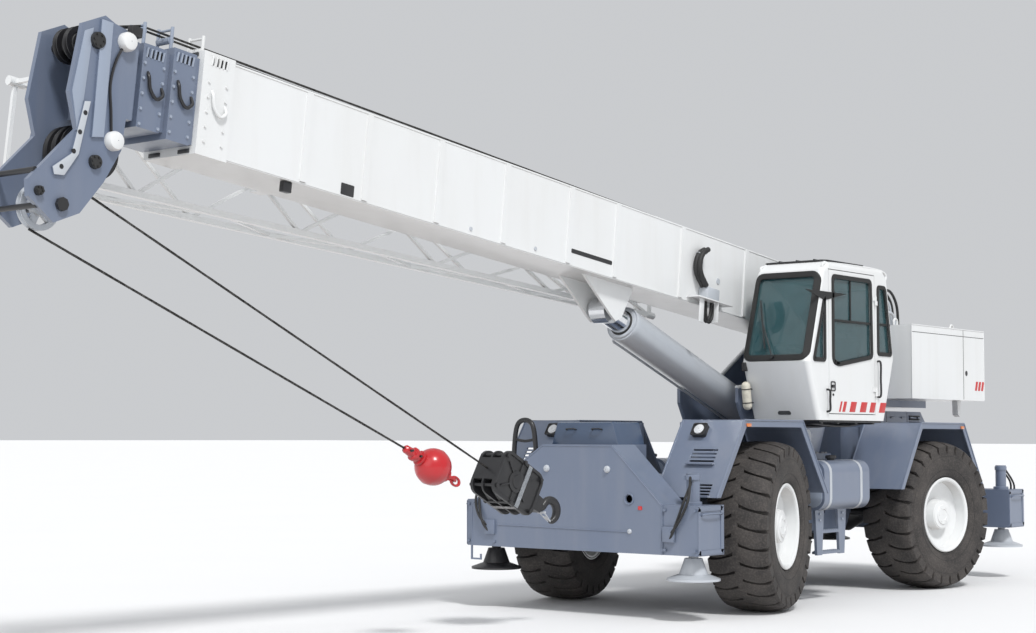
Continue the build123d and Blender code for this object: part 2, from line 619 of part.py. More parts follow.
# ---------------------------------------------------------------- slewing frame
with BuildPart() as turntable:
    with BuildSketch(Plane.XY.offset(turntable_bottom)):
        Circle(TURNTABLE_RADIUS)
    extrude(amount=TURNTABLE_PLATE)
    for sign in (-1, 1):
        y_out = FRAME_PLATE_Y + FRAME_PLATE if sign > 0 else -FRAME_PLATE_Y
        with BuildSketch(side_plane(y_out)):
            Polygon(
                (680, turntable_top - 5), (980, HOOD_TOP + 50), (980, 2130), (300, 2200),
                (-1150, 3080), (-1800, 3080), (-2060, 2700), (-3300, 2600),
                (-3300, HOOD_TOP + 50), (-940, HOOD_TOP + 50), (-680, turntable_top - 5),
                align=None,
            )
            with Locations((BOOM_PIVOT_X, BOOM_PIVOT_Z)):
                Circle(BOOM_PIN_RADIUS + FIT, mode=Mode.SUBTRACT)
            with Locations((LIFT_FOOT_X, LIFT_FOOT_Z)):
                Circle(60 + FIT, mode=Mode.SUBTRACT)
        extrude(amount=FRAME_PLATE)
    with Locations((-2600, 0, HOOD_TOP + 50 + 15)):
        Box(1380, 2 * FRAME_PLATE_Y, 30)
save(turntable.part, "turntable")

with BuildPart() as counterweight:
    with BuildSketch(front_plane(COUNTERWEIGHT_REAR)):
        with Locations((0, (COUNTERWEIGHT_TOP + COUNTERWEIGHT_BOTTOM) / 2)):
            Rectangle(2 * COUNTERWEIGHT_HALF_WIDTH, COUNTERWEIGHT_TOP - COUNTERWEIGHT_BOTTOM)
    extrude(amount=COUNTERWEIGHT_FRONT - COUNTERWEIGHT_REAR)
    with BuildSketch(front_plane(-3300 - FIT)):
        with Locations((0, 2400)):
            Rectangle(2 * (FRAME_PLATE_Y + FRAME_PLATE + FIT), 1200)
    extrude(amount=3300, mode=Mode.SUBTRACT)
save(counterweight.part, "counterweight")

with BuildPart() as winches:
    for x in (-2150, -2800):
        with BuildSketch(side_plane(FRAME_PLATE_Y - FIT)):
            with Locations((x, 2330)):
                Circle(250)
        extrude(amount=40)
        with BuildSketch(side_plane(-FRAME_PLATE_Y + FIT + 40)):
            with Locations((x, 2330)):
                Circle(250)
        extrude(amount=40)
        with BuildSketch(side_plane(FRAME_PLATE_Y - 30)):
            with Locations((x, 2330)):
                Circle(170)
        extrude(amount=2 * FRAME_PLATE_Y - 60)
save(winches.part, "winches")

# ---------------------------------------------------------------- cab
CAB_SIDE = [
    (880, CAB_FLOOR), (1100, 2375), (800, 3310), (680, CAB_ROOF),
    (-500, CAB_ROOF), (-610, 3300), (-750, 2450), (-520, CAB_FLOOR),
]
hinge_y = CAB_OUTER_Y + DOOR_HINGE_RADIUS
cab_middle_y = (CAB_OUTER_Y + CAB_INNER_Y) / 2
REAR_QUARTER = [(-370, 2500), (-370, 3200), (-545, 3200), (-660, 2500)]
FRONT_QUARTER = [(770, 2400), (1000, 2400), (800, 3020), (770, 3020)]
RIGHT_WINDOW = [(-560, 2450), (-520, 3260), (740, 3260), (980, 2420)]
DOOR_WINDOW = [
    (DOOR_REAR + 70, 2460), (DOOR_REAR + 90, 3250), (DOOR_FRONT - 90, 3250),
    (DOOR_FRONT - 90, 2400), (DOOR_FRONT - 200, 2360),
]
with BuildPart() as cab_shell:
    with BuildSketch(side_plane(CAB_OUTER_Y)):
        Polygon(*CAB_SIDE, align=None)
    extrude(amount=CAB_OUTER_Y - CAB_INNER_Y)
    profile_edges = [
        edge for edge in cab_shell.edges()
        if abs(edge.center().Y - cab_middle_y) > 1 and edge.center().Z > CAB_FLOOR + 1
    ]
    fillet(profile_edges, CAB_EDGE_RADIUS)
    with BuildSketch(side_plane(CAB_OUTER_Y - CAB_WALL)):
        Polygon(*CAB_SIDE, align=None)
        offset(amount=-CAB_WALL, mode=Mode.REPLACE)
    extrude(amount=CAB_OUTER_Y - CAB_INNER_Y - 2 * CAB_WALL, mode=Mode.SUBTRACT)
    # door opening
    with BuildSketch(side_plane(CAB_OUTER_Y + 5)):
        with Locations(((DOOR_FRONT + DOOR_REAR) / 2, 2590)):
            Rectangle(DOOR_FRONT - DOOR_REAR, 1460)
    extrude(amount=CAB_WALL + 10, mode=Mode.SUBTRACT)
    # side windows
    with BuildSketch(side_plane(CAB_OUTER_Y + 5)):
        Polygon(*REAR_QUARTER, align=None)
        Polygon(*FRONT_QUARTER, align=None)
    extrude(amount=CAB_WALL + 10, mode=Mode.SUBTRACT)
    with BuildSketch(side_plane(CAB_INNER_Y + CAB_WALL + 5)):
        Polygon(*RIGHT_WINDOW, align=None)
    extrude(amount=CAB_WALL + 10, mode=Mode.SUBTRACT)
    # windscreen and rear window
    for (low, high, margin), start, reach in ((WINDSCREEN, 600, 600), (REAR_SCREEN, -900, 400)):
        with BuildSketch(front_plane(start)):
            with Locations((cab_middle_y, (low + high) / 2)):
                Rectangle(CAB_OUTER_Y - CAB_INNER_Y - 2 * margin, high - low)
        extrude(amount=reach, mode=Mode.SUBTRACT)
    # roof window
    with BuildSketch(Plane.XY.offset(CAB_ROOF - 100)):
        with Locations(((ROOF_WINDOW[0] + ROOF_WINDOW[1]) / 2, cab_middle_y)):
            Rectangle(ROOF_WINDOW[1] - ROOF_WINDOW[0], CAB_OUTER_Y - CAB_INNER_Y - 2 * ROOF_WINDOW[2])
    extrude(amount=200, mode=Mode.SUBTRACT)
    # fixed halves of the door hinges
    for z in DOOR_HINGES:
        with BuildSketch(Plane.XY.offset(z - DOOR_HINGE_LENGTH)):
            with Locations((DOOR_REAR, hinge_y)):
                Circle(DOOR_HINGE_RADIUS)
            with Locations((DOOR_REAR - 30, CAB_OUTER_Y + 5)):
                Rectangle(60, 10)
        extrude(amount=DOOR_HINGE_LENGTH)
save(cab_shell.part, "cab_shell")


def wall_x(line, z):
    """Place along X of a sloping cab wall, given by its lower and upper point, at a height."""
    (low_x, low_z), (high_x, high_z) = line
    return low_x + (z - low_z) * (high_x - low_x) / (high_z - low_z)


FRONT_WALL = (CAB_SIDE[1], CAB_SIDE[2])
REAR_WALL = (CAB_SIDE[6], CAB_SIDE[5])
with BuildPart() as cab_glass:
    for outline, face_y in (
        (REAR_QUARTER, CAB_OUTER_Y - GLASS_INSET), (FRONT_QUARTER, CAB_OUTER_Y - GLASS_INSET),
        (RIGHT_WINDOW, CAB_INNER_Y + GLASS_INSET + GLASS),
    ):
        with BuildSketch(side_plane(face_y)):
            Polygon(*outline, align=None)
            offset(amount=-FIT, mode=Mode.REPLACE)
        extrude(amount=GLASS)
    for wall, (low, high, margin), inward in ((FRONT_WALL, WINDSCREEN, -1), (REAR_WALL, REAR_SCREEN, 1)):
        with BuildSketch(side_plane(CAB_OUTER_Y - margin - FIT)):
            low_x = wall_x(wall, low + FIT) + inward * GLASS_INSET
            high_x = wall_x(wall, high - FIT) + inward * GLASS_INSET
            Polygon(
                (low_x, low + FIT), (high_x, high - FIT), (high_x + inward * GLASS, high - FIT),
                (low_x + inward * GLASS, low + FIT), align=None,
            )
        extrude(amount=CAB_OUTER_Y - CAB_INNER_Y - 2 * margin - 2 * FIT)
    with BuildSketch(Plane.XY.offset(CAB_ROOF - GLASS_INSET - GLASS)):
        with Locations(((ROOF_WINDOW[0] + ROOF_WINDOW[1]) / 2, cab_middle_y)):
            Rectangle(
                ROOF_WINDOW[1] - ROOF_WINDOW[0] - 2 * FIT,
                CAB_OUTER_Y - CAB_INNER_Y - 2 * ROOF_WINDOW[2] - 2 * FIT,
            )
    extrude(amount=GLASS)
save(cab_glass.part, "cab_glass")

with BuildPart() as cab_mount:
    with BuildSketch(side_plane(CAB_INNER_Y - FIT)):
        Polygon((-500, 1990), (-500, 2200), (700, 2100), (700, 1990), align=None)
    extrude(amount=CAB_INNER_Y - FRAME_PLATE_Y - FRAME_PLATE - 2 * FIT)
save(cab_mount.part, "cab_mount")

with BuildPart() as cab_door:
    with BuildSketch(side_plane(CAB_OUTER_Y)):
        with Locations(((DOOR_FRONT + DOOR_REAR) / 2, 2590)):
            Rectangle(DOOR_FRONT - DOOR_REAR - 2 * DOOR_GAP, 1460 - 2 * DOOR_GAP)
        Polygon(*DOOR_WINDOW, align=None, mode=Mode.SUBTRACT)
    extrude(amount=CAB_WALL)
    for z in DOOR_HINGES:
        with BuildSketch(Plane.XY.offset(z + FIT)):
            with Locations((DOOR_REAR, hinge_y)):
                Circle(DOOR_HINGE_RADIUS)
            with Locations((DOOR_REAR + 30, CAB_OUTER_Y + 5)):
                Rectangle(60, 10)
        extrude(amount=DOOR_HINGE_LENGTH)
save(cab_door.part, "cab_door")

with BuildPart() as door_glass:
    with BuildSketch(side_plane(CAB_OUTER_Y - GLASS_INSET)):
        Polygon(*DOOR_WINDOW, align=None)
        offset(amount=-FIT, mode=Mode.REPLACE)
    extrude(amount=GLASS)
save(door_glass.part, "door_glass")

with BuildPart() as operator_seat:
    with Locations((-60, 865, 2120)):
        Box(480, 480, 110)
    with BuildSketch(side_plane(1085)):
        Polygon((-180, 2175), (-300, 2175), (-430, 2900), (-330, 2900), align=None)
    extrude(amount=440)
    with Locations((-60, 865, 1955)):
        Box(300, 300, 219)
save(operator_seat.part, "operator_seat")

# ---------------------------------------------------------------- boom
# name, width, depth, wall, tail, collar oversize, collar length
SECTIONS = []
for number, (wall, tail, oversize, collar) in enumerate(
    [
        (12, -1330, 30, SECTION_STEP - SECTION_GAP),
        (11, -1250, 34, SECTION_STEP - SECTION_GAP),
        (10, -1170, 0, 0),
    ]
):
    width = BASE_WIDTH - BASE_NEST[0] - number * SECTION_NEST[0]
    depth = BASE_DEPTH - BASE_NEST[1] - number * SECTION_NEST[1]
    SECTIONS.append((f"boom_section_{number + 2}", width, depth, wall, tail, oversize, collar))
TIP_WIDTH, TIP_DEPTH = SECTIONS[-1][1:3]
boom_middle = BASE_DEPTH / 2
pivot_s, pivot_n = boom_frame(BOOM_PIVOT_X, BOOM_PIVOT_Z)
head_s, head_n = boom_frame(LIFT_HEAD_X, LIFT_HEAD_Z)



def comb(station, half_width, top):
    """Row of short slots near a collar's top edge, for both of its sides."""
    with BuildPart() as slots:
        for face in (half_width, -half_width + COMB_DEPTH):
            with BuildSketch(side_plane(face)):
                with Locations((station, top - COMB_HEIGHT)):
                    with GridLocations(COMB_PITCH, 0, COMB_SLOTS, 1):
                        Rectangle(COMB_PITCH * 0.6, COMB_HEIGHT)
            extrude(amount=COMB_DEPTH)
    return slots.part


with BuildPart() as boom_base:
    with BuildSketch(front_plane(BASE_TAIL)):
        with Locations((0, boom_middle)):
            Rectangle(BASE_WIDTH - 30, BASE_DEPTH)
    extrude(amount=BASE_NOSE - BASE_TAIL)
    with BuildSketch(front_plane(BASE_NOSE - COLLAR_LENGTH)):
        with Locations((0, boom_middle)):
            Rectangle(BASE_WIDTH + 20, BASE_DEPTH + 30)
    extrude(amount=COLLAR_LENGTH)
    with BuildSketch(front_plane(BASE_TAIL)):
        with Locations((0, boom_middle)):
            Rectangle(BASE_WIDTH - 30 - 2 * BASE_WALL, BASE_DEPTH - 2 * BASE_WALL)
    extrude(amount=BASE_NOSE - BASE_TAIL - 120, mode=Mode.SUBTRACT)
    with BuildSketch(front_plane(BASE_NOSE - 130)):
        with Locations((0, boom_middle)):
            Rectangle(SECTIONS[0][1] + 2 * FIT, SECTIONS[0][2] + 2 * FIT)
    extrude(amount=140, mode=Mode.SUBTRACT)
    for s in (7127, 6445, 5570, 4685, 3747, 3015, 1900, 700, -500):
        with BuildSketch(front_plane(s - 30)):
            with Locations((0, boom_middle)):
                Rectangle(BASE_WIDTH, BASE_DEPTH - 40)
                Rectangle(BASE_WIDTH - 30, BASE_DEPTH, mode=Mode.SUBTRACT)
        extrude(amount=60)
    with BuildSketch(side_plane(FRAME_PLATE_Y + FRAME_PLATE)):
        with Locations((pivot_s, pivot_n)):
            Circle(BOOM_PIN_RADIUS)
    extrude(amount=2 * (FRAME_PLATE_Y + FRAME_PLATE))
    for y in (LIFT_ROD_RADIUS + CLEARANCE + 26, -LIFT_ROD_RADIUS - CLEARANCE):
        with BuildSketch(side_plane(y)):
            Polygon(
                (head_s - 250, 5), (head_s - 90, head_n - 60), (head_s, head_n - 110),
                (head_s + 90, head_n - 60), (head_s + 560, 5), align=None,
            )
        extrude(amount=26)
    add(comb(BASE_NOSE - COLLAR_LENGTH / 2, BASE_WIDTH / 2 + 10, BASE_DEPTH + 15), mode=Mode.SUBTRACT)
save(boom_base.part, "boom_base", BOOM_TILT)

nose = BASE_NOSE
for index, (label, width, depth, wall, tail, oversize, collar) in enumerate(SECTIONS):
    nose += SECTION_STEP
    with BuildPart() as section:
        front = nose if collar else nose + 10
        with BuildSketch(front_plane(tail)):
            with Locations((0, boom_middle)):
                Rectangle(width, depth)
        extrude(amount=front - tail)
        if collar:
            with BuildSketch(front_plane(nose - collar)):
                with Locations((0, boom_middle)):
                    Rectangle(width + oversize, depth + oversize)
            extrude(amount=collar)
        with BuildSketch(front_plane(tail)):
            with Locations((0, boom_middle)):
                Rectangle(width - 2 * wall, depth - 2 * wall)
        extrude(amount=front - tail, mode=Mode.SUBTRACT)
        if collar:
            inner_width, inner_depth = SECTIONS[index + 1][1:3]
            with BuildSketch(front_plane(nose - 120)):
                with Locations((0, boom_middle)):
                    Rectangle(width, depth)
                    Rectangle(inner_width + 2 * FIT, inner_depth + 2 * FIT, mode=Mode.SUBTRACT)
            extrude(amount=120)
            collar_top = boom_middle + (depth + oversize) / 2
            add(comb(nose - collar / 2, (width + oversize) / 2, collar_top), mode=Mode.SUBTRACT)
    save(section.part, label, BOOM_TILT)

HEAD_SIDE = [
    (8800, 690), (9000, 720), (9090, 752), (9270, 650), (9320, 160), (9230, -80), (9320, -190),
    (9570, -500), (9550, -610), (9330, -745), (9130, -640), (8960, -390), (8840, -140),
]
head_inner = TIP_WIDTH / 2 + 30    # inner face of a head plate
HEAD_BRACKET = [
    (9150, 130), (9200, 120), (9260, -260), (9400, -380), (9380, -430), (9300, -420), (9200, -250),
]
HEAD_BRACKET_HOLES = [(9190, 40), (9215, -100), (9240, -240)]
with BuildPart() as boom_head:
    for y in (head_inner + HEAD_PLATE, -head_inner):
        with BuildSketch(side_plane(y)):
            Polygon(*HEAD_SIDE, align=None)
        extrude(amount=HEAD_PLATE)
    for outer, bracket_face in ((head_inner + HEAD_PLATE, 1), (-head_inner - HEAD_PLATE, -1)):
        with BuildSketch(side_plane(outer + (HEAD_BAND if bracket_face > 0 else 0))):
            Polygon((9010, -90), (9110, -110), (9130, 715), (9030, 715), align=None)
            Polygon(*HEAD_BRACKET, align=None)
            with Locations(*HEAD_BRACKET_HOLES):
                Circle(20, mode=Mode.SUBTRACT)
        extrude(amount=HEAD_BAND)
    with BuildSketch(front_plane(8780)):
        with Locations((0, boom_middle)):
            Rectangle(2 * (head_inner + HEAD_PLATE), TIP_DEPTH + 60)
            Rectangle(TIP_WIDTH + 2 * FIT, TIP_DEPTH + 2 * FIT, mode=Mode.SUBTRACT)
    extrude(amount=200)
save(boom_head.part, "boom_head", BOOM_TILT)

# sheave name, station, height, radius, number, pitch across
SHEAVES = [
    (8990, -170, 200, 4, 90),
    (9140, 560, 125, 2, 110),
    (9290, -613, 160, 1, 0),
]
with BuildPart() as head_sheaves:
    for s, n, radius, count, pitch in SHEAVES:
        for i in range(count):
            y = (i - (count - 1) / 2) * pitch
            with BuildSketch(side_plane(y + 25)):
                with Locations((s, n)):
                    Circle(radius)
                    if count == 1:
                        with PolarLocations(radius * 0.62, ROOSTER_HOLES):
                            Circle(radius * 0.16, mode=Mode.SUBTRACT)
            extrude(amount=50)
        with BuildSketch(side_plane(head_inner - FIT)):
            with Locations((s, n)):
                Circle(40)
        extrude(amount=2 * (head_inner - FIT))
save(head_sheaves.part, "head_sheaves", BOOM_TILT)


def bar(start, end, size):
    """Square bar between two points."""
    direction = Vector(*end) - Vector(*start)
    with BuildPart() as one:
        with BuildSketch(Plane(origin=start, z_dir=direction)):
            Rectangle(size, size)
        extrude(amount=direction.length)
    return one.part


# Stowed jib: four chords from a square root frame at the boom head to a narrow tip at the tail.
JIB_ROOT = 9020
JIB_TIP = 1300
JIB_BAYS = 9
JIB_Y = -600
jib_bars = []


def jib_corner(s, corner):
    """Chord position at a station, for corner signs (across, up)."""
    share = (s - JIB_TIP) / (JIB_ROOT - JIB_TIP)
    half_width = 90 + 120 * share
    half_height = 90 + 260 * share
    middle = 60 + 20 * share
    return s, JIB_Y + corner[0] * half_width, middle + corner[1] * half_height


CORNER_SIGNS = [(-1, -1), (1, -1), (1, 1), (-1, 1)]
for corner in CORNER_SIGNS:
    jib_bars.append(bar(jib_corner(JIB_TIP, corner), jib_corner(JIB_ROOT, corner), 48))
for bay in range(JIB_BAYS + 1):
    s0 = JIB_TIP + (JIB_ROOT - JIB_TIP) * bay / JIB_BAYS
    s1 = JIB_TIP + (JIB_ROOT - JIB_TIP) * (bay + 1) / JIB_BAYS
    for i in range(4):
        a, b = CORNER_SIGNS[i], CORNER_SIGNS[(i + 1) % 4]
        if bay in (0, JIB_BAYS):
            jib_bars.append(bar(jib_corner(s0, a), jib_corner(s0, b), 30))
        if bay < JIB_BAYS:
            if bay % 2:
                a, b = b, a
            jib_bars.append(bar(jib_corner(s0, a), jib_corner(s1, b), 26))
jib_body = jib_bars[0].fuse(*jib_bars[1:])
with BuildPart() as jib:
    add(jib_body)
    for s in (2600, 6900):
        with Locations((s, (-BASE_WIDTH / 2 + 15 - FIT + JIB_Y + 100) / 2, 120)):
            Box(120, abs(JIB_Y + 100 + BASE_WIDTH / 2 - 15 + FIT), 160)
save(jib.part, "jib", BOOM_TILT)

# ---------------------------------------------------------------- lift cylinder
lift_length = hypot(LIFT_HEAD_X - LIFT_FOOT_X, LIFT_HEAD_Z - LIFT_FOOT_Z)
lift_angle = degrees(atan2(LIFT_HEAD_Z - LIFT_FOOT_Z, LIFT_HEAD_X - LIFT_FOOT_X))
LIFT_PLACE = Location((LIFT_FOOT_X, 0, LIFT_FOOT_Z), (0, -lift_angle, 0))
barrel_end = lift_length - 330
with BuildPart() as lift_barrel:
    with BuildSketch(front_plane(120)):
        Circle(LIFT_BARREL_RADIUS)
    extrude(amount=barrel_end - 120)
    with BuildSketch(side_plane(120)):
        Circle(130)
    extrude(amount=240)
    with BuildSketch(side_plane(FRAME_PLATE_Y + FRAME_PLATE)):
        Circle(60)
    extrude(amount=2 * (FRAME_PLATE_Y + FRAME_PLATE))
    with BuildSketch(front_plane(LIFT_BORE_START)):
        Circle(LIFT_ROD_RADIUS + FIT)
    extrude(amount=barrel_end, mode=Mode.SUBTRACT)
save(lift_barrel.part, "lift_barrel", LIFT_PLACE)

with BuildPart() as lift_rod:
    with BuildSketch(front_plane(LIFT_ROD_TAIL)):
        Circle(LIFT_ROD_RADIUS)
    extrude(amount=lift_length - LIFT_ROD_TAIL - 60)
    with BuildSketch(side_plane(90)):
        with Locations((lift_length, 0)):
            Circle(125)
    extrude(amount=180)
save(lift_rod.part, "lift_rod", LIFT_PLACE)

# ---------------------------------------------------------------- hook block, ball and ropes
BLOCK = (4747, 390, 1235)
BLOCK_LENGTH = 540
BLOCK_HEIGHT = 400
BLOCK_HALF_WIDTH = 130
BLOCK_SHEAVE_AT = 25
BLOCK_SHEAVE_RADIUS = 180
CHEEK = 20
SHANK_END = -430           # along the hoist ropes, from the middle of the block
HOOK_CENTRE = (-590, -40)
HOOK_RADIUS = 125
HOOK_THROAT = 62
BALL = (5845, 516, 1385)
main_start = BOOM_TILT * Location((8990, 0, -170))
rope_top = main_start.position
rope_vector = rope_top - Vector(*BLOCK)
rope_dir = rope_vector.normalized()
block_plane = Plane(origin=BLOCK, x_dir=rope_dir, z_dir=rope_dir.cross(Vector(0, 0, 1)).normalized() * -1)
with BuildPart() as hook_block:
    for start in (-BLOCK_HALF_WIDTH, -CHEEK / 2, BLOCK_HALF_WIDTH - CHEEK):
        with BuildSketch(block_plane.offset(start)):
            RectangleRounded(BLOCK_LENGTH, BLOCK_HEIGHT, 90)
            with Locations((-BLOCK_LENGTH / 2 + 60, 0)):
                Rectangle(120, BLOCK_HEIGHT / 2)
        extrude(amount=CHEEK)
    for start in (-95, 25):
        with BuildSketch(block_plane.offset(start)):
            with Locations((BLOCK_SHEAVE_AT, 0)):
                Circle(BLOCK_SHEAVE_RADIUS)
        extrude(amount=70)
    with BuildSketch(block_plane.offset(-BLOCK_HALF_WIDTH)):
        with Locations((BLOCK_SHEAVE_AT, 0)):
            Circle(50)
        with Locations((BLOCK_LENGTH / 2 - CHEEK / 2, 0)):
            Rectangle(CHEEK, BLOCK_HEIGHT / 2)
        with Locations((-BLOCK_LENGTH / 2 + 60, 0)):
            Rectangle(80, 160)
        for corner in (-1, 1):
            with Locations((-BLOCK_LENGTH / 2 + 90, corner * (BLOCK_HEIGHT / 2 - 50))):
                Rectangle(36, 36)
    extrude(amount=2 * BLOCK_HALF_WIDTH)
    with BuildSketch(block_plane.offset(-60)):
        Polygon((-220, 80), (-220, -80), (SHANK_END, -60), (SHANK_END, 60), align=None)
    extrude(amount=120)
save(hook_block.part, "hook_block")

with BuildPart() as load_hook:
    with BuildSketch(block_plane.offset(-35)):
        with Locations(HOOK_CENTRE):
            Circle(HOOK_RADIUS)
        with Locations((HOOK_CENTRE[0] + 8, HOOK_CENTRE[1] + 12)):
            Circle(HOOK_THROAT, mode=Mode.SUBTRACT)
        with Locations((HOOK_CENTRE[0], HOOK_CENTRE[1] + HOOK_RADIUS)):
            Rectangle(100, 2 * HOOK_RADIUS - 60, mode=Mode.SUBTRACT)
        with Locations((SHANK_END - 20 - FIT, 0)):
            Rectangle(40, 90)
    extrude(amount=70)
save(load_hook.part, "load_hook")

ball_start = (BOOM_TILT * Location((9290, 0, -613))).position
ball_dir = (ball_start - Vector(*BALL)).normalized()
ball_axis = Axis(BALL, tuple(ball_dir))
with BuildPart() as headache_ball:
    with BuildSketch(Plane(origin=BALL, x_dir=ball_dir, z_dir=ball_dir.cross(Vector(0, 0, 1)))):
        Polygon(
            (-300, 0), (-300, BALL_LINK_RADIUS), (-BALL_RADIUS, BALL_LINK_RADIUS),
            (-BALL_RADIUS + 40, 100), (-BALL_BAND, BALL_RADIUS), (BALL_BAND, BALL_RADIUS),
            (BALL_RADIUS - 40, 100), (BALL_RADIUS, BALL_SOCKET_RADIUS), (330, BALL_SOCKET_RADIUS),
            (330, 0), align=None,
        )
    revolve(axis=ball_axis)
save(headache_ball.part, "headache_ball")



def rope_start(sheave, across, target):
    """Point on a head sheave's rim where a rope to the target leaves it, on the underside."""
    centre = (BOOM_TILT * Location((sheave[0], across, sheave[1]))).position
    start = centre
    for _ in range(3):
        down = (start - target).normalized().cross(Vector(0, 1, 0)).normalized()
        down = down if down.Z < 0 else down * -1
        start = centre + down * (sheave[2] + ROPE_RADIUS + FIT)
    return start


with BuildPart() as ropes:
    for across in (-135, -45, 45, 135):
        target = block_plane.from_local_coords((BLOCK_LENGTH / 2 + 1, 0, -across * 0.7))
        start = rope_start(SHEAVES[0], across, target)
        with BuildSketch(Plane(origin=target, z_dir=start - target)):
            Circle(ROPE_RADIUS)
        extrude(amount=(start - target).length)
    target = Vector(*BALL) + ball_dir * 331
    start = rope_start(SHEAVES[2], 0, target)
    with BuildSketch(Plane(origin=target, z_dir=start - target)):
        Circle(ROPE_RADIUS)
    extrude(amount=(start - target).length)
save(ropes.part, "ropes")
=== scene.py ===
"""Looks of a rough-terrain mobile crane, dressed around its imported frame."""

from __future__ import annotations

import json
import logging
import math
from contextlib import contextmanager
from dataclasses import dataclass, field
from enum import Enum
from typing import Iterator, Sequence

import bmesh
import bpy
from mathutils import Matrix, Vector

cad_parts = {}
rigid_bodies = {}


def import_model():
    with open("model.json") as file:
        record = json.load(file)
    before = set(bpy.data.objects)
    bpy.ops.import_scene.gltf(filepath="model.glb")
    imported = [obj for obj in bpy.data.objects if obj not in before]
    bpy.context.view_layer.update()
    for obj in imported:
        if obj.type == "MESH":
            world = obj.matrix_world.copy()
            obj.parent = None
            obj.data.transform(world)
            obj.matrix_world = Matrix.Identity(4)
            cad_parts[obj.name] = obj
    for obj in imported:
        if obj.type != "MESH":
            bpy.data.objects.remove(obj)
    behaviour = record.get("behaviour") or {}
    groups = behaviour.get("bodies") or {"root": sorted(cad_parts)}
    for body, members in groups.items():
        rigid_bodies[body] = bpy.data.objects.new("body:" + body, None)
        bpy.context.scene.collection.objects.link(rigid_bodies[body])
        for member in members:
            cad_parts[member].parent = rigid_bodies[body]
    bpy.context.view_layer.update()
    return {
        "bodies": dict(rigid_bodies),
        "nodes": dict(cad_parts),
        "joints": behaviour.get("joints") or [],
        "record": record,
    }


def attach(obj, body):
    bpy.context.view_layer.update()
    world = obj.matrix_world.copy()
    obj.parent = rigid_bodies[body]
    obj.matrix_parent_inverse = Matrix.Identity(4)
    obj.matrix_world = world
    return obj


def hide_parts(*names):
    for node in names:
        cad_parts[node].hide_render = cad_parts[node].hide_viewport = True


LOG = logging.getLogger("crane")

Colour = tuple[float, float, float]
Point2 = tuple[float, float]
Point3 = tuple[float, float, float]

# Slewing axis at ground level, and the boom's level frame raised to its rest angle.
SLEW = Vector((-2.776, 0.0, 0.021))
BOOM_ELEVATION = math.radians(6.137)
BOOM = (
    Matrix.Translation(SLEW + Vector((0.0, 0.0, 2.777)))
    @ Matrix.Rotation(-BOOM_ELEVATION, 4, "Y")
)
LIFT_FOOT = SLEW + Vector((-0.450, 0.0, 1.650))
LIFT_HEAD = SLEW + Vector((2.800, 0.0, 2.830))


class Body(str, Enum):
    """Rigid bodies of the frame that pieces ride on."""

    CARRIER = "carrier"
    UPPER = "superstructure"
    DOOR = "cab_door"
    BOOM_BASE = "boom_base"
    BOOM_2 = "boom_section_2"
    BOOM_3 = "boom_section_3"
    BOOM_TIP = "boom_tip"
    LIFT_BARREL = "lift_barrel"
    LIFT_ROD = "lift_rod"


# ------------------------------------------------------------------ materials


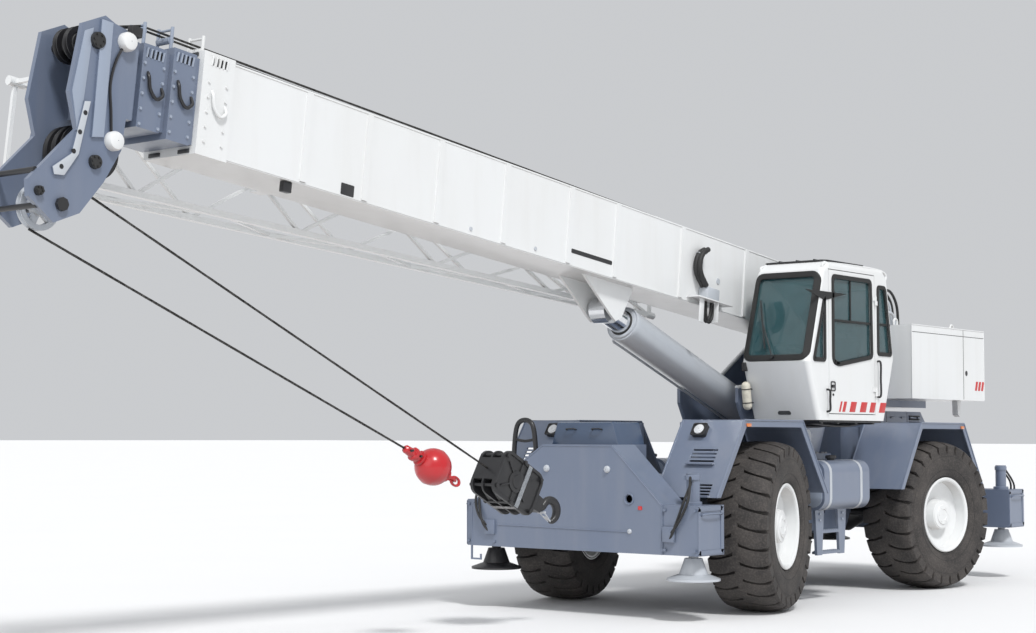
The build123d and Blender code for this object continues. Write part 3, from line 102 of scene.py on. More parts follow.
class NodeBench:
    """Builds the node tree of one material."""

    def __init__(self, name: str) -> None:
        """Start a material with a principled shader.

        Args:
            name: Name of the material.
        """
        self.material = bpy.data.materials.new(name)
        self.material.use_nodes = True
        self.tree = self.material.node_tree
        self.tree.nodes.clear()
        output = self.add("ShaderNodeOutputMaterial")
        self.shader = self.add("ShaderNodeBsdfPrincipled")
        self.tree.links.new(self.shader.outputs["BSDF"], output.inputs["Surface"])
        self.place = self.add("ShaderNodeTexCoord").outputs["Object"]

    def add(self, kind: str, **settings: object) -> bpy.types.Node:
        """Add a node and set its properties."""
        node = self.tree.nodes.new(kind)
        for key, value in settings.items():
            setattr(node, key, value)
        return node

    def set(self, **values: object) -> None:
        """Set constants on the shader's own sockets; underscores stand for spaces."""
        for key, value in values.items():
            self.shader.inputs[key.replace("_", " ")].default_value = value

    def mapped(self, stretch: Point3, turn: Point3 = (0.0, 0.0, 0.0)) -> bpy.types.NodeSocket:
        """Object coordinates, stretched and turned.

        Args:
            stretch: Scale of each axis.
            turn: Rotation of the pattern in degrees.

        Returns:
            The vector socket of a Mapping node.
        """
        node = self.add("ShaderNodeMapping")
        node.inputs["Scale"].default_value = stretch
        node.inputs["Rotation"].default_value = [math.radians(a) for a in turn]
        self.tree.links.new(self.place, node.inputs["Vector"])
        return node.outputs["Vector"]

    def noise(
        self, scale: float, detail: float = 4.0, stretch: Point3 = (1.0, 1.0, 1.0)
    ) -> bpy.types.NodeSocket:
        """Noise over the object coordinates."""
        node = self.add("ShaderNodeTexNoise")
        node.inputs["Scale"].default_value = scale
        node.inputs["Detail"].default_value = detail
        self.tree.links.new(self.mapped(stretch), node.inputs["Vector"])
        return node.outputs["Fac"]

    def ramp(
        self, source: bpy.types.NodeSocket, low: float, high: float
    ) -> bpy.types.NodeSocket:
        """Stretch a value so that low becomes 0 and high becomes 1."""
        node = self.add("ShaderNodeMapRange")
        node.inputs["From Min"].default_value = low
        node.inputs["From Max"].default_value = high
        self.tree.links.new(source, node.inputs["Value"])
        return node.outputs["Result"]

    def spread(
        self, source: bpy.types.NodeSocket, low: float, high: float
    ) -> bpy.types.NodeSocket:
        """Map a value from 0..1 to low..high."""
        node = self.add("ShaderNodeMapRange")
        node.inputs["To Min"].default_value = low
        node.inputs["To Max"].default_value = high
        self.tree.links.new(source, node.inputs["Value"])
        return node.outputs["Result"]

    def math(
        self, operation: str, first: bpy.types.NodeSocket, second: bpy.types.NodeSocket | float
    ) -> bpy.types.NodeSocket:
        """Combine two values."""
        node = self.add("ShaderNodeMath", operation=operation)
        self.tree.links.new(first, node.inputs[0])
        if isinstance(second, (int, float)):
            node.inputs[1].default_value = second
        else:
            self.tree.links.new(second, node.inputs[1])
        return node.outputs["Value"]

    def blend(
        self, factor: bpy.types.NodeSocket, first: Colour | bpy.types.NodeSocket, second: Colour
    ) -> bpy.types.NodeSocket:
        """Mix two colours by a factor."""
        node = self.add("ShaderNodeMix", data_type="RGBA")
        self.tree.links.new(factor, node.inputs[0])
        if isinstance(first, tuple):
            node.inputs[6].default_value = (*first, 1.0)
        else:
            self.tree.links.new(first, node.inputs[6])
        node.inputs[7].default_value = (*second, 1.0)
        return node.outputs[2]

    def painted_underside_shade(self, share: float) -> bpy.types.NodeSocket:
        """Share of painted shade on faces that look down, none on the others."""
        split = self.add("ShaderNodeSeparateXYZ")
        self.tree.links.new(self.add("ShaderNodeNewGeometry").outputs["Normal"], split.inputs[0])
        return self.math("MULTIPLY", self.ramp(split.outputs["Z"], -0.35, -0.95), share)

    def colour(self, source: bpy.types.NodeSocket) -> None:
        """Use a socket as the base colour."""
        self.tree.links.new(source, self.shader.inputs["Base Color"])

    def rough(self, source: bpy.types.NodeSocket) -> None:
        """Use a socket as the roughness."""
        self.tree.links.new(source, self.shader.inputs["Roughness"])

    def bump(self, height: bpy.types.NodeSocket, depth: float, strength: float = 1.0) -> None:
        """Raise the surface by a height pattern.

        Args:
            height: Pattern between 0 and 1.
            depth: Height of the pattern in metres.
            strength: Share of the effect.
        """
        node = self.add("ShaderNodeBump")
        node.inputs["Strength"].default_value = strength
        node.inputs["Distance"].default_value = depth
        self.tree.links.new(height, node.inputs["Height"])
        self.tree.links.new(node.outputs["Normal"], self.shader.inputs["Normal"])


@dataclass(frozen=True)
class Paint:
    """Sprayed enamel with slight fading, dust and orange peel, and painted shade on faces that look down."""

    name: str
    colour: Colour
    dust: Colour
    roughness: float = 0.32
    dust_share: float = 0.25
    coat: float = 0.3
    # Colour of the painted shade on faces that look down.
    underside_shade_colour: Colour = (0.36, 0.31, 0.27)

    def build(self) -> bpy.types.Material:
        """Make the material."""
        bench = NodeBench(self.name)
        cloud = bench.ramp(bench.noise(1.3, 6.0, (1.0, 1.0, 0.5)), 0.42, 0.75)
        streak = bench.ramp(bench.noise(7.0, 4.0, (1.0, 1.0, 0.12)), 0.5, 0.8)
        share = bench.math("MULTIPLY", bench.math("ADD", cloud, streak), self.dust_share)
        faded = bench.blend(share, self.colour, self.dust)
        # Faces that look down are blended towards their painted shade colour.
        bench.colour(bench.blend(bench.painted_underside_shade(0.55), faded, self.underside_shade_colour))
        bench.rough(bench.spread(share, self.roughness, self.roughness + 0.28))
        bench.bump(bench.noise(260.0, 2.0), 0.0004, 0.25)
        bench.set(Coat_Weight=self.coat, Coat_Roughness=0.12)
        return bench.material


@dataclass(frozen=True)
class Metal:
    """Bare or plated metal with fine scratches."""

    name: str
    colour: Colour
    roughness: float = 0.3
    scratch: float = 90.0

    def build(self) -> bpy.types.Material:
        """Make the material."""
        bench = NodeBench(self.name)
        grain = bench.noise(self.scratch, 5.0, (1.0, 1.0, 6.0))
        dark = tuple(channel * 0.7 for channel in self.colour)
        bench.colour(bench.blend(bench.ramp(grain, 0.4, 0.9), self.colour, dark))
        bench.rough(bench.spread(grain, self.roughness * 0.7, self.roughness * 1.4))
        bench.bump(grain, 0.0004, 0.2)
        bench.set(Metallic=1.0)
        return bench.material


@dataclass(frozen=True)
class Rubber:
    """Dusty rubber, lighter where dust settles."""

    name: str
    colour: Colour
    dust: Colour
    roughness: float = 0.75
    grain: float = 120.0

    def build(self) -> bpy.types.Material:
        """Make the material."""
        bench = NodeBench(self.name)
        cloud = bench.ramp(bench.noise(4.0, 8.0), 0.38, 0.72)
        speck = bench.ramp(bench.noise(60.0, 3.0), 0.45, 0.7)
        share = bench.math("MULTIPLY", bench.math("ADD", cloud, speck), 0.4)
        bench.colour(bench.blend(share, self.colour, self.dust))
        bench.rough(bench.spread(share, self.roughness, 0.92))
        bench.bump(bench.noise(self.grain, 6.0), 0.0012, 0.5)
        return bench.material


@dataclass(frozen=True)
class Pane:
    """Tinted safety glass, with lighter streaks of painted reflection."""

    name: str
    colour: Colour
    alpha: float = 0.45

    def build(self) -> bpy.types.Material:
        """Make the material."""
        bench = NodeBench(self.name)
        # Painted reflection: lighter streaks over the tint.
        painted_reflection_streaks = bench.noise(5.0, 3.0)
        lighter = tuple(min(1.0, channel * 1.6) for channel in self.colour)
        bench.colour(bench.blend(painted_reflection_streaks, self.colour, lighter))
        bench.rough(bench.spread(painted_reflection_streaks, 0.03, 0.09))
        bench.set(Alpha=self.alpha, IOR=1.5, Coat_Weight=1.0, Coat_Roughness=0.03)
        return bench.material


@dataclass(frozen=True)
class Rope:
    """Greased wire strands."""

    name: str
    colour: Colour
    shine: Colour

    def build(self) -> bpy.types.Material:
        """Make the material."""
        bench = NodeBench(self.name)
        grease = bench.ramp(bench.noise(45.0, 4.0), 0.35, 0.7)
        bench.colour(bench.blend(grease, self.colour, self.shine))
        bench.rough(bench.spread(grease, 0.38, 0.6))
        bench.bump(bench.noise(400.0, 2.0), 0.0006, 0.6)
        bench.set(Metallic=0.7)
        return bench.material


@dataclass(frozen=True)
class Cloth:
    """Woven seat cloth."""

    name: str
    colour: Colour
    thread: float = 420.0

    def build(self) -> bpy.types.Material:
        """Make the material."""
        bench = NodeBench(self.name)
        waves = []
        for turn in ((0.0, 0.0, 0.0), (0.0, 0.0, 90.0)):
            wave = bench.add("ShaderNodeTexWave")
            wave.inputs["Scale"].default_value = self.thread
            bench.tree.links.new(bench.mapped((1.0, 1.0, 1.0), turn), wave.inputs["Vector"])
            waves.append(wave.outputs["Fac"])
        weave = bench.math("MULTIPLY", waves[0], waves[1])
        lighter = tuple(channel * 2.2 for channel in self.colour)
        bench.colour(bench.blend(weave, self.colour, lighter))
        bench.bump(weave, 0.0006, 0.5)
        bench.set(Roughness=0.9, Sheen_Weight=0.3)
        return bench.material


@dataclass(frozen=True)
class Plastic:
    """Moulded plastic with a fine texture."""

    name: str
    colour: Colour
    roughness: float = 0.5

    def build(self) -> bpy.types.Material:
        """Make the material."""
        bench = NodeBench(self.name)
        wear = bench.ramp(bench.noise(18.0, 5.0), 0.4, 0.8)
        lighter = tuple(min(1.0, channel * 1.35 + 0.01) for channel in self.colour)
        bench.colour(bench.blend(wear, self.colour, lighter))
        bench.rough(bench.spread(wear, self.roughness, self.roughness + 0.15))
        bench.bump(bench.noise(500.0, 2.0), 0.0005, 0.35)
        return bench.material


@dataclass(frozen=True)
class Lens:
    """Lamp lens with moulded flutes."""

    name: str
    colour: Colour

    def build(self) -> bpy.types.Material:
        """Make the material."""
        bench = NodeBench(self.name)
        wave = bench.add("ShaderNodeTexWave")
        wave.inputs["Scale"].default_value = 40.0
        bench.tree.links.new(bench.place, wave.inputs["Vector"])
        darker = tuple(channel * 0.7 for channel in self.colour)
        bench.colour(bench.blend(wave.outputs["Fac"], self.colour, darker))
        bench.bump(wave.outputs["Fac"], 0.001, 0.5)
        bench.set(Roughness=0.08, Coat_Weight=1.0, Coat_Roughness=0.03)
        return bench.material


class Finish(Enum):
    """Every finish on the crane."""

    # Where a paint gives a seventh value, it is the colour of its painted underside shade.
    WHITE = Paint("white_enamel", (0.78, 0.79, 0.79), (0.60, 0.58, 0.54), 0.3, 0.16)
    GREY = Paint(
        "blue_grey_enamel", (0.150, 0.185, 0.262), (0.24, 0.26, 0.31), 0.3, 0.3, 0.4,
        (0.10, 0.10, 0.11),
    )
    PALE_GREY = Paint(
        "pale_grey_enamel", (0.30, 0.35, 0.44), (0.36, 0.38, 0.42), 0.32, 0.3, 0.3, (0.2, 0.2, 0.2)
    )
    DEEP_BLUE = Paint(
        "deep_blue_enamel", (0.050, 0.080, 0.140), (0.12, 0.14, 0.18), 0.22, 0.2, 0.6,
        (0.05, 0.05, 0.06),
    )
    SILVER = Paint("silver_enamel", (0.50, 0.53, 0.57), (0.42, 0.43, 0.44), 0.3, 0.2)
    BLACK = Paint(
        "black_enamel", (0.012, 0.012, 0.014), (0.05, 0.05, 0.05), 0.4, 0.3, 0.15,
        (0.02, 0.02, 0.02),
    )
    RED = Paint(
        "red_enamel", (0.50, 0.010, 0.016), (0.35, 0.05, 0.05), 0.28, 0.2, 0.4, (0.15, 0.02, 0.02)
    )
    STRIPE_RED = Paint(
        "stripe_red", (0.55, 0.03, 0.03), (0.5, 0.1, 0.1), 0.4, 0.1, 0.1, (0.3, 0.05, 0.05)
    )
    CHROME = Metal("plated_rod", (0.78, 0.79, 0.81), 0.14)
    STEEL = Metal("machined_steel", (0.42, 0.42, 0.43), 0.38)
    DARK_STEEL = Metal("oiled_steel", (0.09, 0.09, 0.09), 0.5)
    WIRE = Rope("wire_rope", (0.022, 0.021, 0.020), (0.12, 0.115, 0.11))
    TYRE = Rubber("tyre_tread", (0.030, 0.027, 0.026), (0.125, 0.110, 0.100))
    TYRE_WALL = Rubber("tyre_wall", (0.022, 0.021, 0.021), (0.075, 0.068, 0.062))
    SEAL = Rubber("window_rubber", (0.010, 0.010, 0.010), (0.03, 0.03, 0.03), 0.55, 300.0)
    HOSE = Rubber("hose_rubber", (0.012, 0.012, 0.012), (0.05, 0.05, 0.05), 0.5, 400.0)
    GLASS = Pane("tinted_pane", (0.035, 0.085, 0.095), 0.62)
    ROOF_GLASS = Pane("roof_pane", (0.008, 0.014, 0.016), 0.92)
    CLOTH = Cloth("seat_cloth", (0.020, 0.021, 0.026))
    PLASTIC = Plastic("console_plastic", (0.04, 0.042, 0.045))
    PALE_PLASTIC = Plastic("pale_plastic", (0.60, 0.57, 0.48), 0.4)
    CLEAR_LENS = Lens("clear_lens", (0.80, 0.82, 0.84))
    RED_LENS = Lens("red_lens", (0.60, 0.02, 0.02))
    AMBER_LENS = Lens("amber_lens", (0.80, 0.22, 0.03))


# The record's slot that each finish belongs to.
SLOTS = {
    Finish.WHITE: "white_paint",
    Finish.GREY: "grey_paint",
    Finish.PALE_GREY: "grey_paint",
    Finish.DEEP_BLUE: "grey_paint",
    Finish.SILVER: "silver_paint",
    Finish.BLACK: "black_paint",
    Finish.RED: "red_paint",
    Finish.STRIPE_RED: "red_paint",
    Finish.CHROME: "rod_chrome",
    Finish.STEEL: "machine_steel",
    Finish.DARK_STEEL: "machine_steel",
    Finish.WIRE: "wire_rope",
    Finish.TYRE: "tyre_rubber",
    Finish.TYRE_WALL: "tyre_rubber",
    Finish.SEAL: "tyre_rubber",
    Finish.HOSE: "tyre_rubber",
    Finish.GLASS: "tinted_glass",
    Finish.ROOF_GLASS: "tinted_glass",
    Finish.CLOTH: "seat_cloth",
}


class Palette:
    """Builds each finish once and hands it out."""

    def __init__(self) -> None:
        """Start with no material built."""
        self._built: dict[Finish, bpy.types.Material] = {}

    def __getitem__(self, finish: Finish) -> bpy.types.Material:
        """Material of a finish, built on first use."""
        if finish not in self._built:
            self._built[finish] = finish.value.build()
        return self._built[finish]


# ------------------------------------------------------------------ mesh tools


def aim(start: Vector, end: Vector) -> Matrix:
    """Matrix that puts local +Z along a line, with its origin at the start."""
    turn = (end - start).to_track_quat("Z", "Y").to_matrix().to_4x4()
    return Matrix.Translation(start) @ turn


def basis(origin: Sequence[float], across: Sequence[float], up: Sequence[float]) -> Matrix:
    """Matrix of a flat shape: local X goes across, local Y goes up, local Z out of the face."""
    x_axis = Vector(across).normalized()
    z_axis = x_axis.cross(Vector(up)).normalized()
    y_axis = z_axis.cross(x_axis)
    turn = Matrix((x_axis, y_axis, z_axis)).transposed().to_4x4()
    return Matrix.Translation(Vector(origin)) @ turn


def side_view(y: float, facing: int = 1) -> Matrix:
    """Matrix that lays a flat side view (x, z) about the slewing axis at a given y.

    Args:
        y: Height of the sheet's back face across the crane.
        facing: 1 for a sheet that grows towards +Y, -1 towards -Y.

    Returns:
        The matrix, whose local Z is the way the sheet grows.
    """
    turn = Matrix(((1, 0, 0), (0, 0, facing), (0, 1, 0))).to_4x4()
    return Matrix.Translation(SLEW + Vector((0.0, y, 0.0))) @ turn


def boom_view(y: float, facing: int = 1) -> Matrix:
    """Matrix that lays a flat side view (station, height) of the boom at a given y."""
    turn = Matrix(((1, 0, 0), (0, 0, facing), (0, 1, 0))).to_4x4()
    return BOOM @ Matrix.Translation((0.0, y, 0.0)) @ turn


def front_view(x: float) -> Matrix:
    """Matrix that lays a flat front view (y, z) about the slewing axis at a given x."""
    turn = Matrix(((0, 0, 1), (1, 0, 0), (0, 1, 0))).to_4x4()
    return Matrix.Translation(SLEW + Vector((x, 0.0, 0.0))) @ turn


def crane(x: float, y: float, z: float) -> Vector:
    """Point given about the slewing axis at ground level."""
    return SLEW + Vector((x, y, z))


def on_boom(station: float, y: float, height: float) -> Vector:
    """Point given in the boom's level frame."""
    return BOOM @ Vector((station, y, height))


def grown(outline: Sequence[Point2], by: float) -> list[Point2]:
    """Corner points of an outline, moved out from its middle by about a distance."""
    spans = [(min(values), max(values)) for values in zip(*outline)]
    points = []
    for point in outline:
        moved = []
        for value, (low, high) in zip(point, spans):
            middle, half = (low + high) / 2, (high - low) / 2
            moved.append(middle + (value - middle) * (1 + by / half))
        points.append(tuple(moved))
    return points


def settle(part: bmesh.types.BMesh, place: Matrix) -> None:
    """Put a mesh in place, with its faces outwards also where the matrix mirrors it."""
    bmesh.ops.transform(part, matrix=place, verts=part.verts)
    if place.determinant() < 0:
        bmesh.ops.reverse_faces(part, faces=part.faces)


def mirror_across(bm: bmesh.types.BMesh) -> None:
    """Add the mirror image of a mesh on the crane's other side."""
    geom = bm.verts[:] + bm.edges[:] + bm.faces[:]
    copied = bmesh.ops.duplicate(bm, geom=geom)["geom"]
    verts = [item for item in copied if isinstance(item, bmesh.types.BMVert)]
    faces = [item for item in copied if isinstance(item, bmesh.types.BMFace)]
    bmesh.ops.scale(bm, verts=verts, vec=(1.0, -1.0, 1.0))
    bmesh.ops.reverse_faces(bm, faces=faces)


def add_block(
    bm: bmesh.types.BMesh, centre: Sequence[float], size: Sequence[float], bevel: float = 0.004,
    place: Matrix | None = None,
) -> None:
    """Add a bevelled block.

    Args:
        bm: Mesh to add to.
        centre: Middle of the block.
        size: Lengths along the three axes.
        bevel: Width of its bevelled edges, 0 for none.
        place: Matrix applied after the block is in place.
    """
    matrix = Matrix.Translation(Vector(centre)) @ Matrix.Diagonal((*size, 1.0))
    verts = bmesh.ops.create_cube(bm, size=1.0, matrix=matrix)["verts"]
    if bevel:
        edges = list({edge for vert in verts for edge in vert.link_edges})
        faces = bmesh.ops.bevel(
            bm, geom=edges, offset=min(bevel, 0.4 * min(size)), offset_type="OFFSET",
            segments=2, profile=0.5, affect="EDGES", material=-1,
        )["verts"]
        verts = list({*[v for v in verts if v.is_valid], *faces})
    if place is not None:
        bmesh.ops.transform(bm, matrix=place, verts=verts)


def add_rod(
    bm: bmesh.types.BMesh, start: Sequence[float], end: Sequence[float], radius: float,
    segments: int = 24, end_radius: float | None = None,
) -> None:
    """Add a closed round bar or cone between two points."""
    start, end = Vector(start), Vector(end)
    length = (end - start).length
    bmesh.ops.create_cone(
        bm, cap_ends=True, segments=segments, radius1=radius,
        radius2=radius if end_radius is None else end_radius, depth=length,
        matrix=aim(start, end) @ Matrix.Translation((0.0, 0.0, length / 2)),
    )


def add_lathe(
    bm: bmesh.types.BMesh, profile: Sequence[Point2], place: Matrix, steps: int = 48,
    closed: bool = False,
) -> None:
    """Spin a profile of (radius, height) about local Z.

    Args:
        bm: Mesh to add to.
        profile: Points from one end to the other.
        place: Matrix that puts the local Z axis in place.
        steps: Facets round the axis.
        closed: Whether the profile closes on itself.
    """
    part = bmesh.new()
    verts = [part.verts.new((radius, 0.0, height)) for radius, height in profile]
    pairs = list(zip(verts, verts[1:]))
    if closed:
        pairs.append((verts[-1], verts[0]))
    edges = [part.edges.new(pair) for pair in pairs]
    bmesh.ops.spin(
        part, geom=verts + edges, cent=(0, 0, 0), axis=(0, 0, 1), angle=math.tau,
        steps=steps, use_merge=True,
    )
    bmesh.ops.remove_doubles(part, verts=part.verts, dist=0.00002)
    bmesh.ops.recalc_face_normals(part, faces=part.faces)
    settle(part, place)
    add_mesh(bm, part)


def add_ring(
    bm: bmesh.types.BMesh, place: Matrix, radius: float, thickness: float, steps: int = 48,
    sides: int = 10,
) -> None:
    """Add a round ring about local Z."""
    turns = [math.tau * side / sides for side in range(sides)]
    profile = [(radius + thickness * math.cos(a), thickness * math.sin(a)) for a in turns]
    add_lathe(bm, profile, place, steps, closed=True)


def add_mesh(bm: bmesh.types.BMesh, part: bmesh.types.BMesh) -> None:
    """Move one mesh's geometry into another."""
    carrier = bpy.data.meshes.new("carried")
    part.to_mesh(carrier)
    part.free()
    bm.from_mesh(carrier)
    bpy.data.meshes.remove(carrier)


def add_plate(
    bm: bmesh.types.BMesh, outline: Sequence[Point2], thickness: float, place: Matrix,
    corner: float = 0.0, bevel: float = 0.0, hole: float = 0.0,
) -> None:
    """Add a flat sheet with rounded corners, or a frame of it.

    Args:
        bm: Mesh to add to.
        outline: Corner points in the sheet's plane.
        thickness: Sheet thickness along local Z.
        place: Matrix of the sheet.
        corner: Radius of its corners.
        bevel: Width of the bevel round its front face.
        hole: Width of the frame that is left, 0 for a full sheet.
    """
    part = bmesh.new()
    verts = [part.verts.new((x, y, 0.0)) for x, y in outline]
    part.faces.new(verts)
    if corner:
        bmesh.ops.bevel(
            part, geom=list(part.verts), offset=corner, offset_type="OFFSET", segments=5,
            profile=0.5, affect="VERTICES", material=-1,
        )
    if hole:
        inset = bmesh.ops.inset_region(
            part, faces=list(part.faces), thickness=hole, use_boundary=True, use_even_offset=True,
        )["faces"]
        inner = [face for face in part.faces if face not in inset]
        bmesh.ops.delete(part, geom=inner, context="FACES")
    bmesh.ops.recalc_face_normals(part, faces=part.faces)
    lifted = bmesh.ops.extrude_face_region(part, geom=list(part.faces))["geom"]
    top = [item for item in lifted if isinstance(item, bmesh.types.BMVert)]
    bmesh.ops.translate(part, verts=top, vec=(0.0, 0.0, thickness))
    if bevel:
        rim = [e for e in part.edges if all(abs(v.co.z - thickness) < 1e-6 for v in e.verts)]
        rim = [e for e in rim if any(abs(f.normal.z) < 0.5 for f in e.link_faces)]
        bmesh.ops.bevel(
            part, geom=rim, offset=bevel, offset_type="OFFSET", segments=2, profile=0.5,
            affect="EDGES", material=-1,
        )
    bmesh.ops.recalc_face_normals(part, faces=part.faces)
    settle(part, place)
    add_mesh(bm, part)


def smooth_path(points: Sequence[Sequence[float]], steps: int = 8) -> list[Vector]:
    """Points of a smooth run through the given ones."""
    knots = [Vector(point) for point in points]
    if len(knots) < 3:
        return knots
    path = []
    for index in range(len(knots) - 1):
        before = knots[max(index - 1, 0)]
        start, end = knots[index], knots[index + 1]
        after = knots[min(index + 2, len(knots) - 1)]
        for step in range(steps):
            t = step / steps
            path.append(
                0.5 * (
                    2 * start + (end - before) * t
                    + (2 * before - 5 * start + 4 * end - after) * t * t
                    + (3 * start - before - 3 * end + after) * t ** 3
                )
            )
    return path + [knots[-1]]


def add_tube(
    bm: bmesh.types.BMesh, points: Sequence[Sequence[float]], radius: float, segments: int = 10,
    steps: int = 8, swell: Sequence[float] | None = None,
) -> None:
    """Sweep a circle along a smooth run through the given points.

    Args:
        bm: Mesh to add to.
        points: Points that the run goes through.
        radius: Radius of the tube.
        segments: Facets round it.
        steps: Rings between two points.
        swell: Share of the radius at each point, for a tapering tube.
    """
    path = smooth_path(points, steps)
    if swell:
        shares = [share.x for share in smooth_path([(share, 0.0, 0.0) for share in swell], steps)]
    else:
        shares = [1.0] * len(path)
    part = bmesh.new()
    heading = path[1] - path[0]
    verts = bmesh.ops.create_circle(
        part, cap_ends=True, segments=segments, radius=radius * shares[0],
        matrix=aim(path[0], path[1]),
    )["verts"]
    ring = part.edges[:]
    for index in range(1, len(path)):
        grown = bmesh.ops.extrude_edge_only(part, edges=ring)["geom"]
        verts = [item for item in grown if isinstance(item, bmesh.types.BMVert)]
        ring = [item for item in grown if isinstance(item, bmesh.types.BMEdge)]
        following = path[min(index + 1, len(path) - 1)] - path[index - 1]
        turn = heading.rotation_difference(following)
        bmesh.ops.translate(part, verts=verts, vec=path[index] - path[index - 1])
        bmesh.ops.rotate(part, verts=verts, cent=path[index], matrix=turn.to_matrix())
        if swell:
            grow = shares[index] / shares[index - 1]
            bmesh.ops.scale(
                part, verts=verts, vec=(grow, grow, grow), space=Matrix.Translation(-path[index])
            )
        heading = following
    bmesh.ops.contextual_create(part, geom=ring)
    bmesh.ops.recalc_face_normals(part, faces=part.faces)
    add_mesh(bm, part)


def add_bolt(bm: bmesh.types.BMesh, at: Vector, out: Vector, size: float = 0.015) -> None:
    """Add a hexagon bolt head standing on a face, with its washer."""
    direction = out.normalized()
    add_rod(bm, at - direction * 0.002, at + direction * size * 0.2, size * 1.15, 16)
    add_rod(bm, at + direction * size * 0.15, at + direction * size * 0.9, size, 6)


@dataclass
class Workshop:
    """Turns meshes into pieces of the crane."""

    frame: dict
    palette: Palette = field(default_factory=Palette)

    def finish_node(self, node: str, finish: Finish) -> None:
        """Give a node of the frame its material."""
        item = self.frame["nodes"][node]
        for slot in item.material_slots:
            slot.material = self.palette[finish]

    @contextmanager
    def making(
        self, name: str, finish: Finish, body: Body | str, smooth: float = 32.0,
        replaces: Sequence[str] = (),
    ) -> Iterator[bmesh.types.BMesh]:
        """Open a mesh, and make a piece of it when the block ends.

        Args:
            name: Name of the piece.
            finish: Its finish.
            body: Body it moves with.
            smooth: Edges sharper than this many degrees stay sharp.
            replaces: Nodes of the frame that it stands for.

        Returns:
            The open mesh.
        """
        bm = bmesh.new()
        yield bm
        self.piece(name, bm, finish, body, smooth, replaces)

    def piece(
        self, name: str, bm: bmesh.types.BMesh, finish: Finish, body: Body | str,
        smooth: float = 32.0, replaces: Sequence[str] = (),
    ) -> bpy.types.Object:
        """Make an object of a mesh and let it ride on a body.

        Args:
            name: Name of the piece.
            bm: Its mesh, which is used up.
            finish: Its finish.
            body: Body it moves with.
            smooth: Edges sharper than this many degrees stay sharp.
            replaces: Nodes of the frame that it stands for.

        Returns:
            The new object.
        """
        mesh = bpy.data.meshes.new(name)
        bm.to_mesh(mesh)
        bm.free()
        for polygon in mesh.polygons:
            polygon.use_smooth = True
        mesh.set_sharp_from_angle(angle=math.radians(smooth))
        mesh.materials.append(self.palette[finish])
        item = bpy.data.objects.new(name, mesh)
        bpy.context.collection.objects.link(item)
        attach(item, body.value if isinstance(body, Body) else body)
        if finish in SLOTS:
            SLOTS[finish]
        if replaces:
            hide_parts(*replaces)
        LOG.info("%s: %d faces", name, len(mesh.polygons))
        return item


# ------------------------------------------------------------------ studio


@dataclass
class Studio:
    """Floor, lights and camera."""

    floor_colour: Colour = (0.86, 0.86, 0.86)
    camera_place: Point3 = (13.9237, 10.0235, 1.6576)
    camera_turn: Point3 = (93.7866, -0.1653, 128.5211)
    lens: float = 62.518

    def build(self) -> None:
        """Set up everything that isn't the crane."""
        self._floor()
        self._world()
        self._lights()
        self._camera()

    def _floor(self) -> None:
        """Plain pale floor."""
        bench = NodeBench("studio_floor")
        cloud = bench.noise(0.4, 3.0)
        bench.colour(bench.blend(cloud, self.floor_colour, (0.84, 0.84, 0.845)))
        bench.set(Roughness=0.9)
        bm = bmesh.new()
        bmesh.ops.create_grid(bm, x_segments=1, y_segments=1, size=400.0)
        mesh = bpy.data.meshes.new("floor")
        bm.to_mesh(mesh)
        bm.free()
        mesh.materials.append(bench.material)
        floor = bpy.data.objects.new("floor", mesh)
        bpy.context.collection.objects.link(floor)

    def _world(self) -> None:
        """Even white surroundings."""
        world = bpy.data.worlds.new("studio")
        world.use_nodes = True
        background = world.node_tree.nodes["Background"]
        background.inputs["Color"].default_value = (0.95, 0.97, 1.0, 1.0)
        background.inputs["Strength"].default_value = 0.62
        bpy.context.scene.world = world

    def _lights(self) -> None:
        """Soft sun from ahead and to the left, and a broad fill."""
        for name, turn, energy, angle in (
            ("sun", (38.0, 0.0, 150.0), 2.1, 10.0),
            ("fill", (62.0, 0.0, 95.0), 0.5, 50.0),
        ):
            light = bpy.data.lights.new(name, "SUN")
            light.energy = energy
            light.angle = math.radians(angle)
            lamp = bpy.data.objects.new(name, light)
            lamp.rotation_euler = [math.radians(a) for a in turn]
            bpy.context.collection.objects.link(lamp)

    def _camera(self) -> None:
        """Camera at the reference angle."""
        data = bpy.data.cameras.new("camera")
        data.lens = self.lens
        data.sensor_width = 36.0
        data.clip_end = 900.0
        camera = bpy.data.objects.new("camera", data)
        camera.location = self.camera_place
        camera.rotation_euler = [math.radians(a) for a in self.camera_turn]
        bpy.context.collection.objects.link(camera)
        bpy.context.scene.camera = camera
        bpy.context.scene.view_settings.view_transform = "Standard"


# ------------------------------------------------------------------ wheels


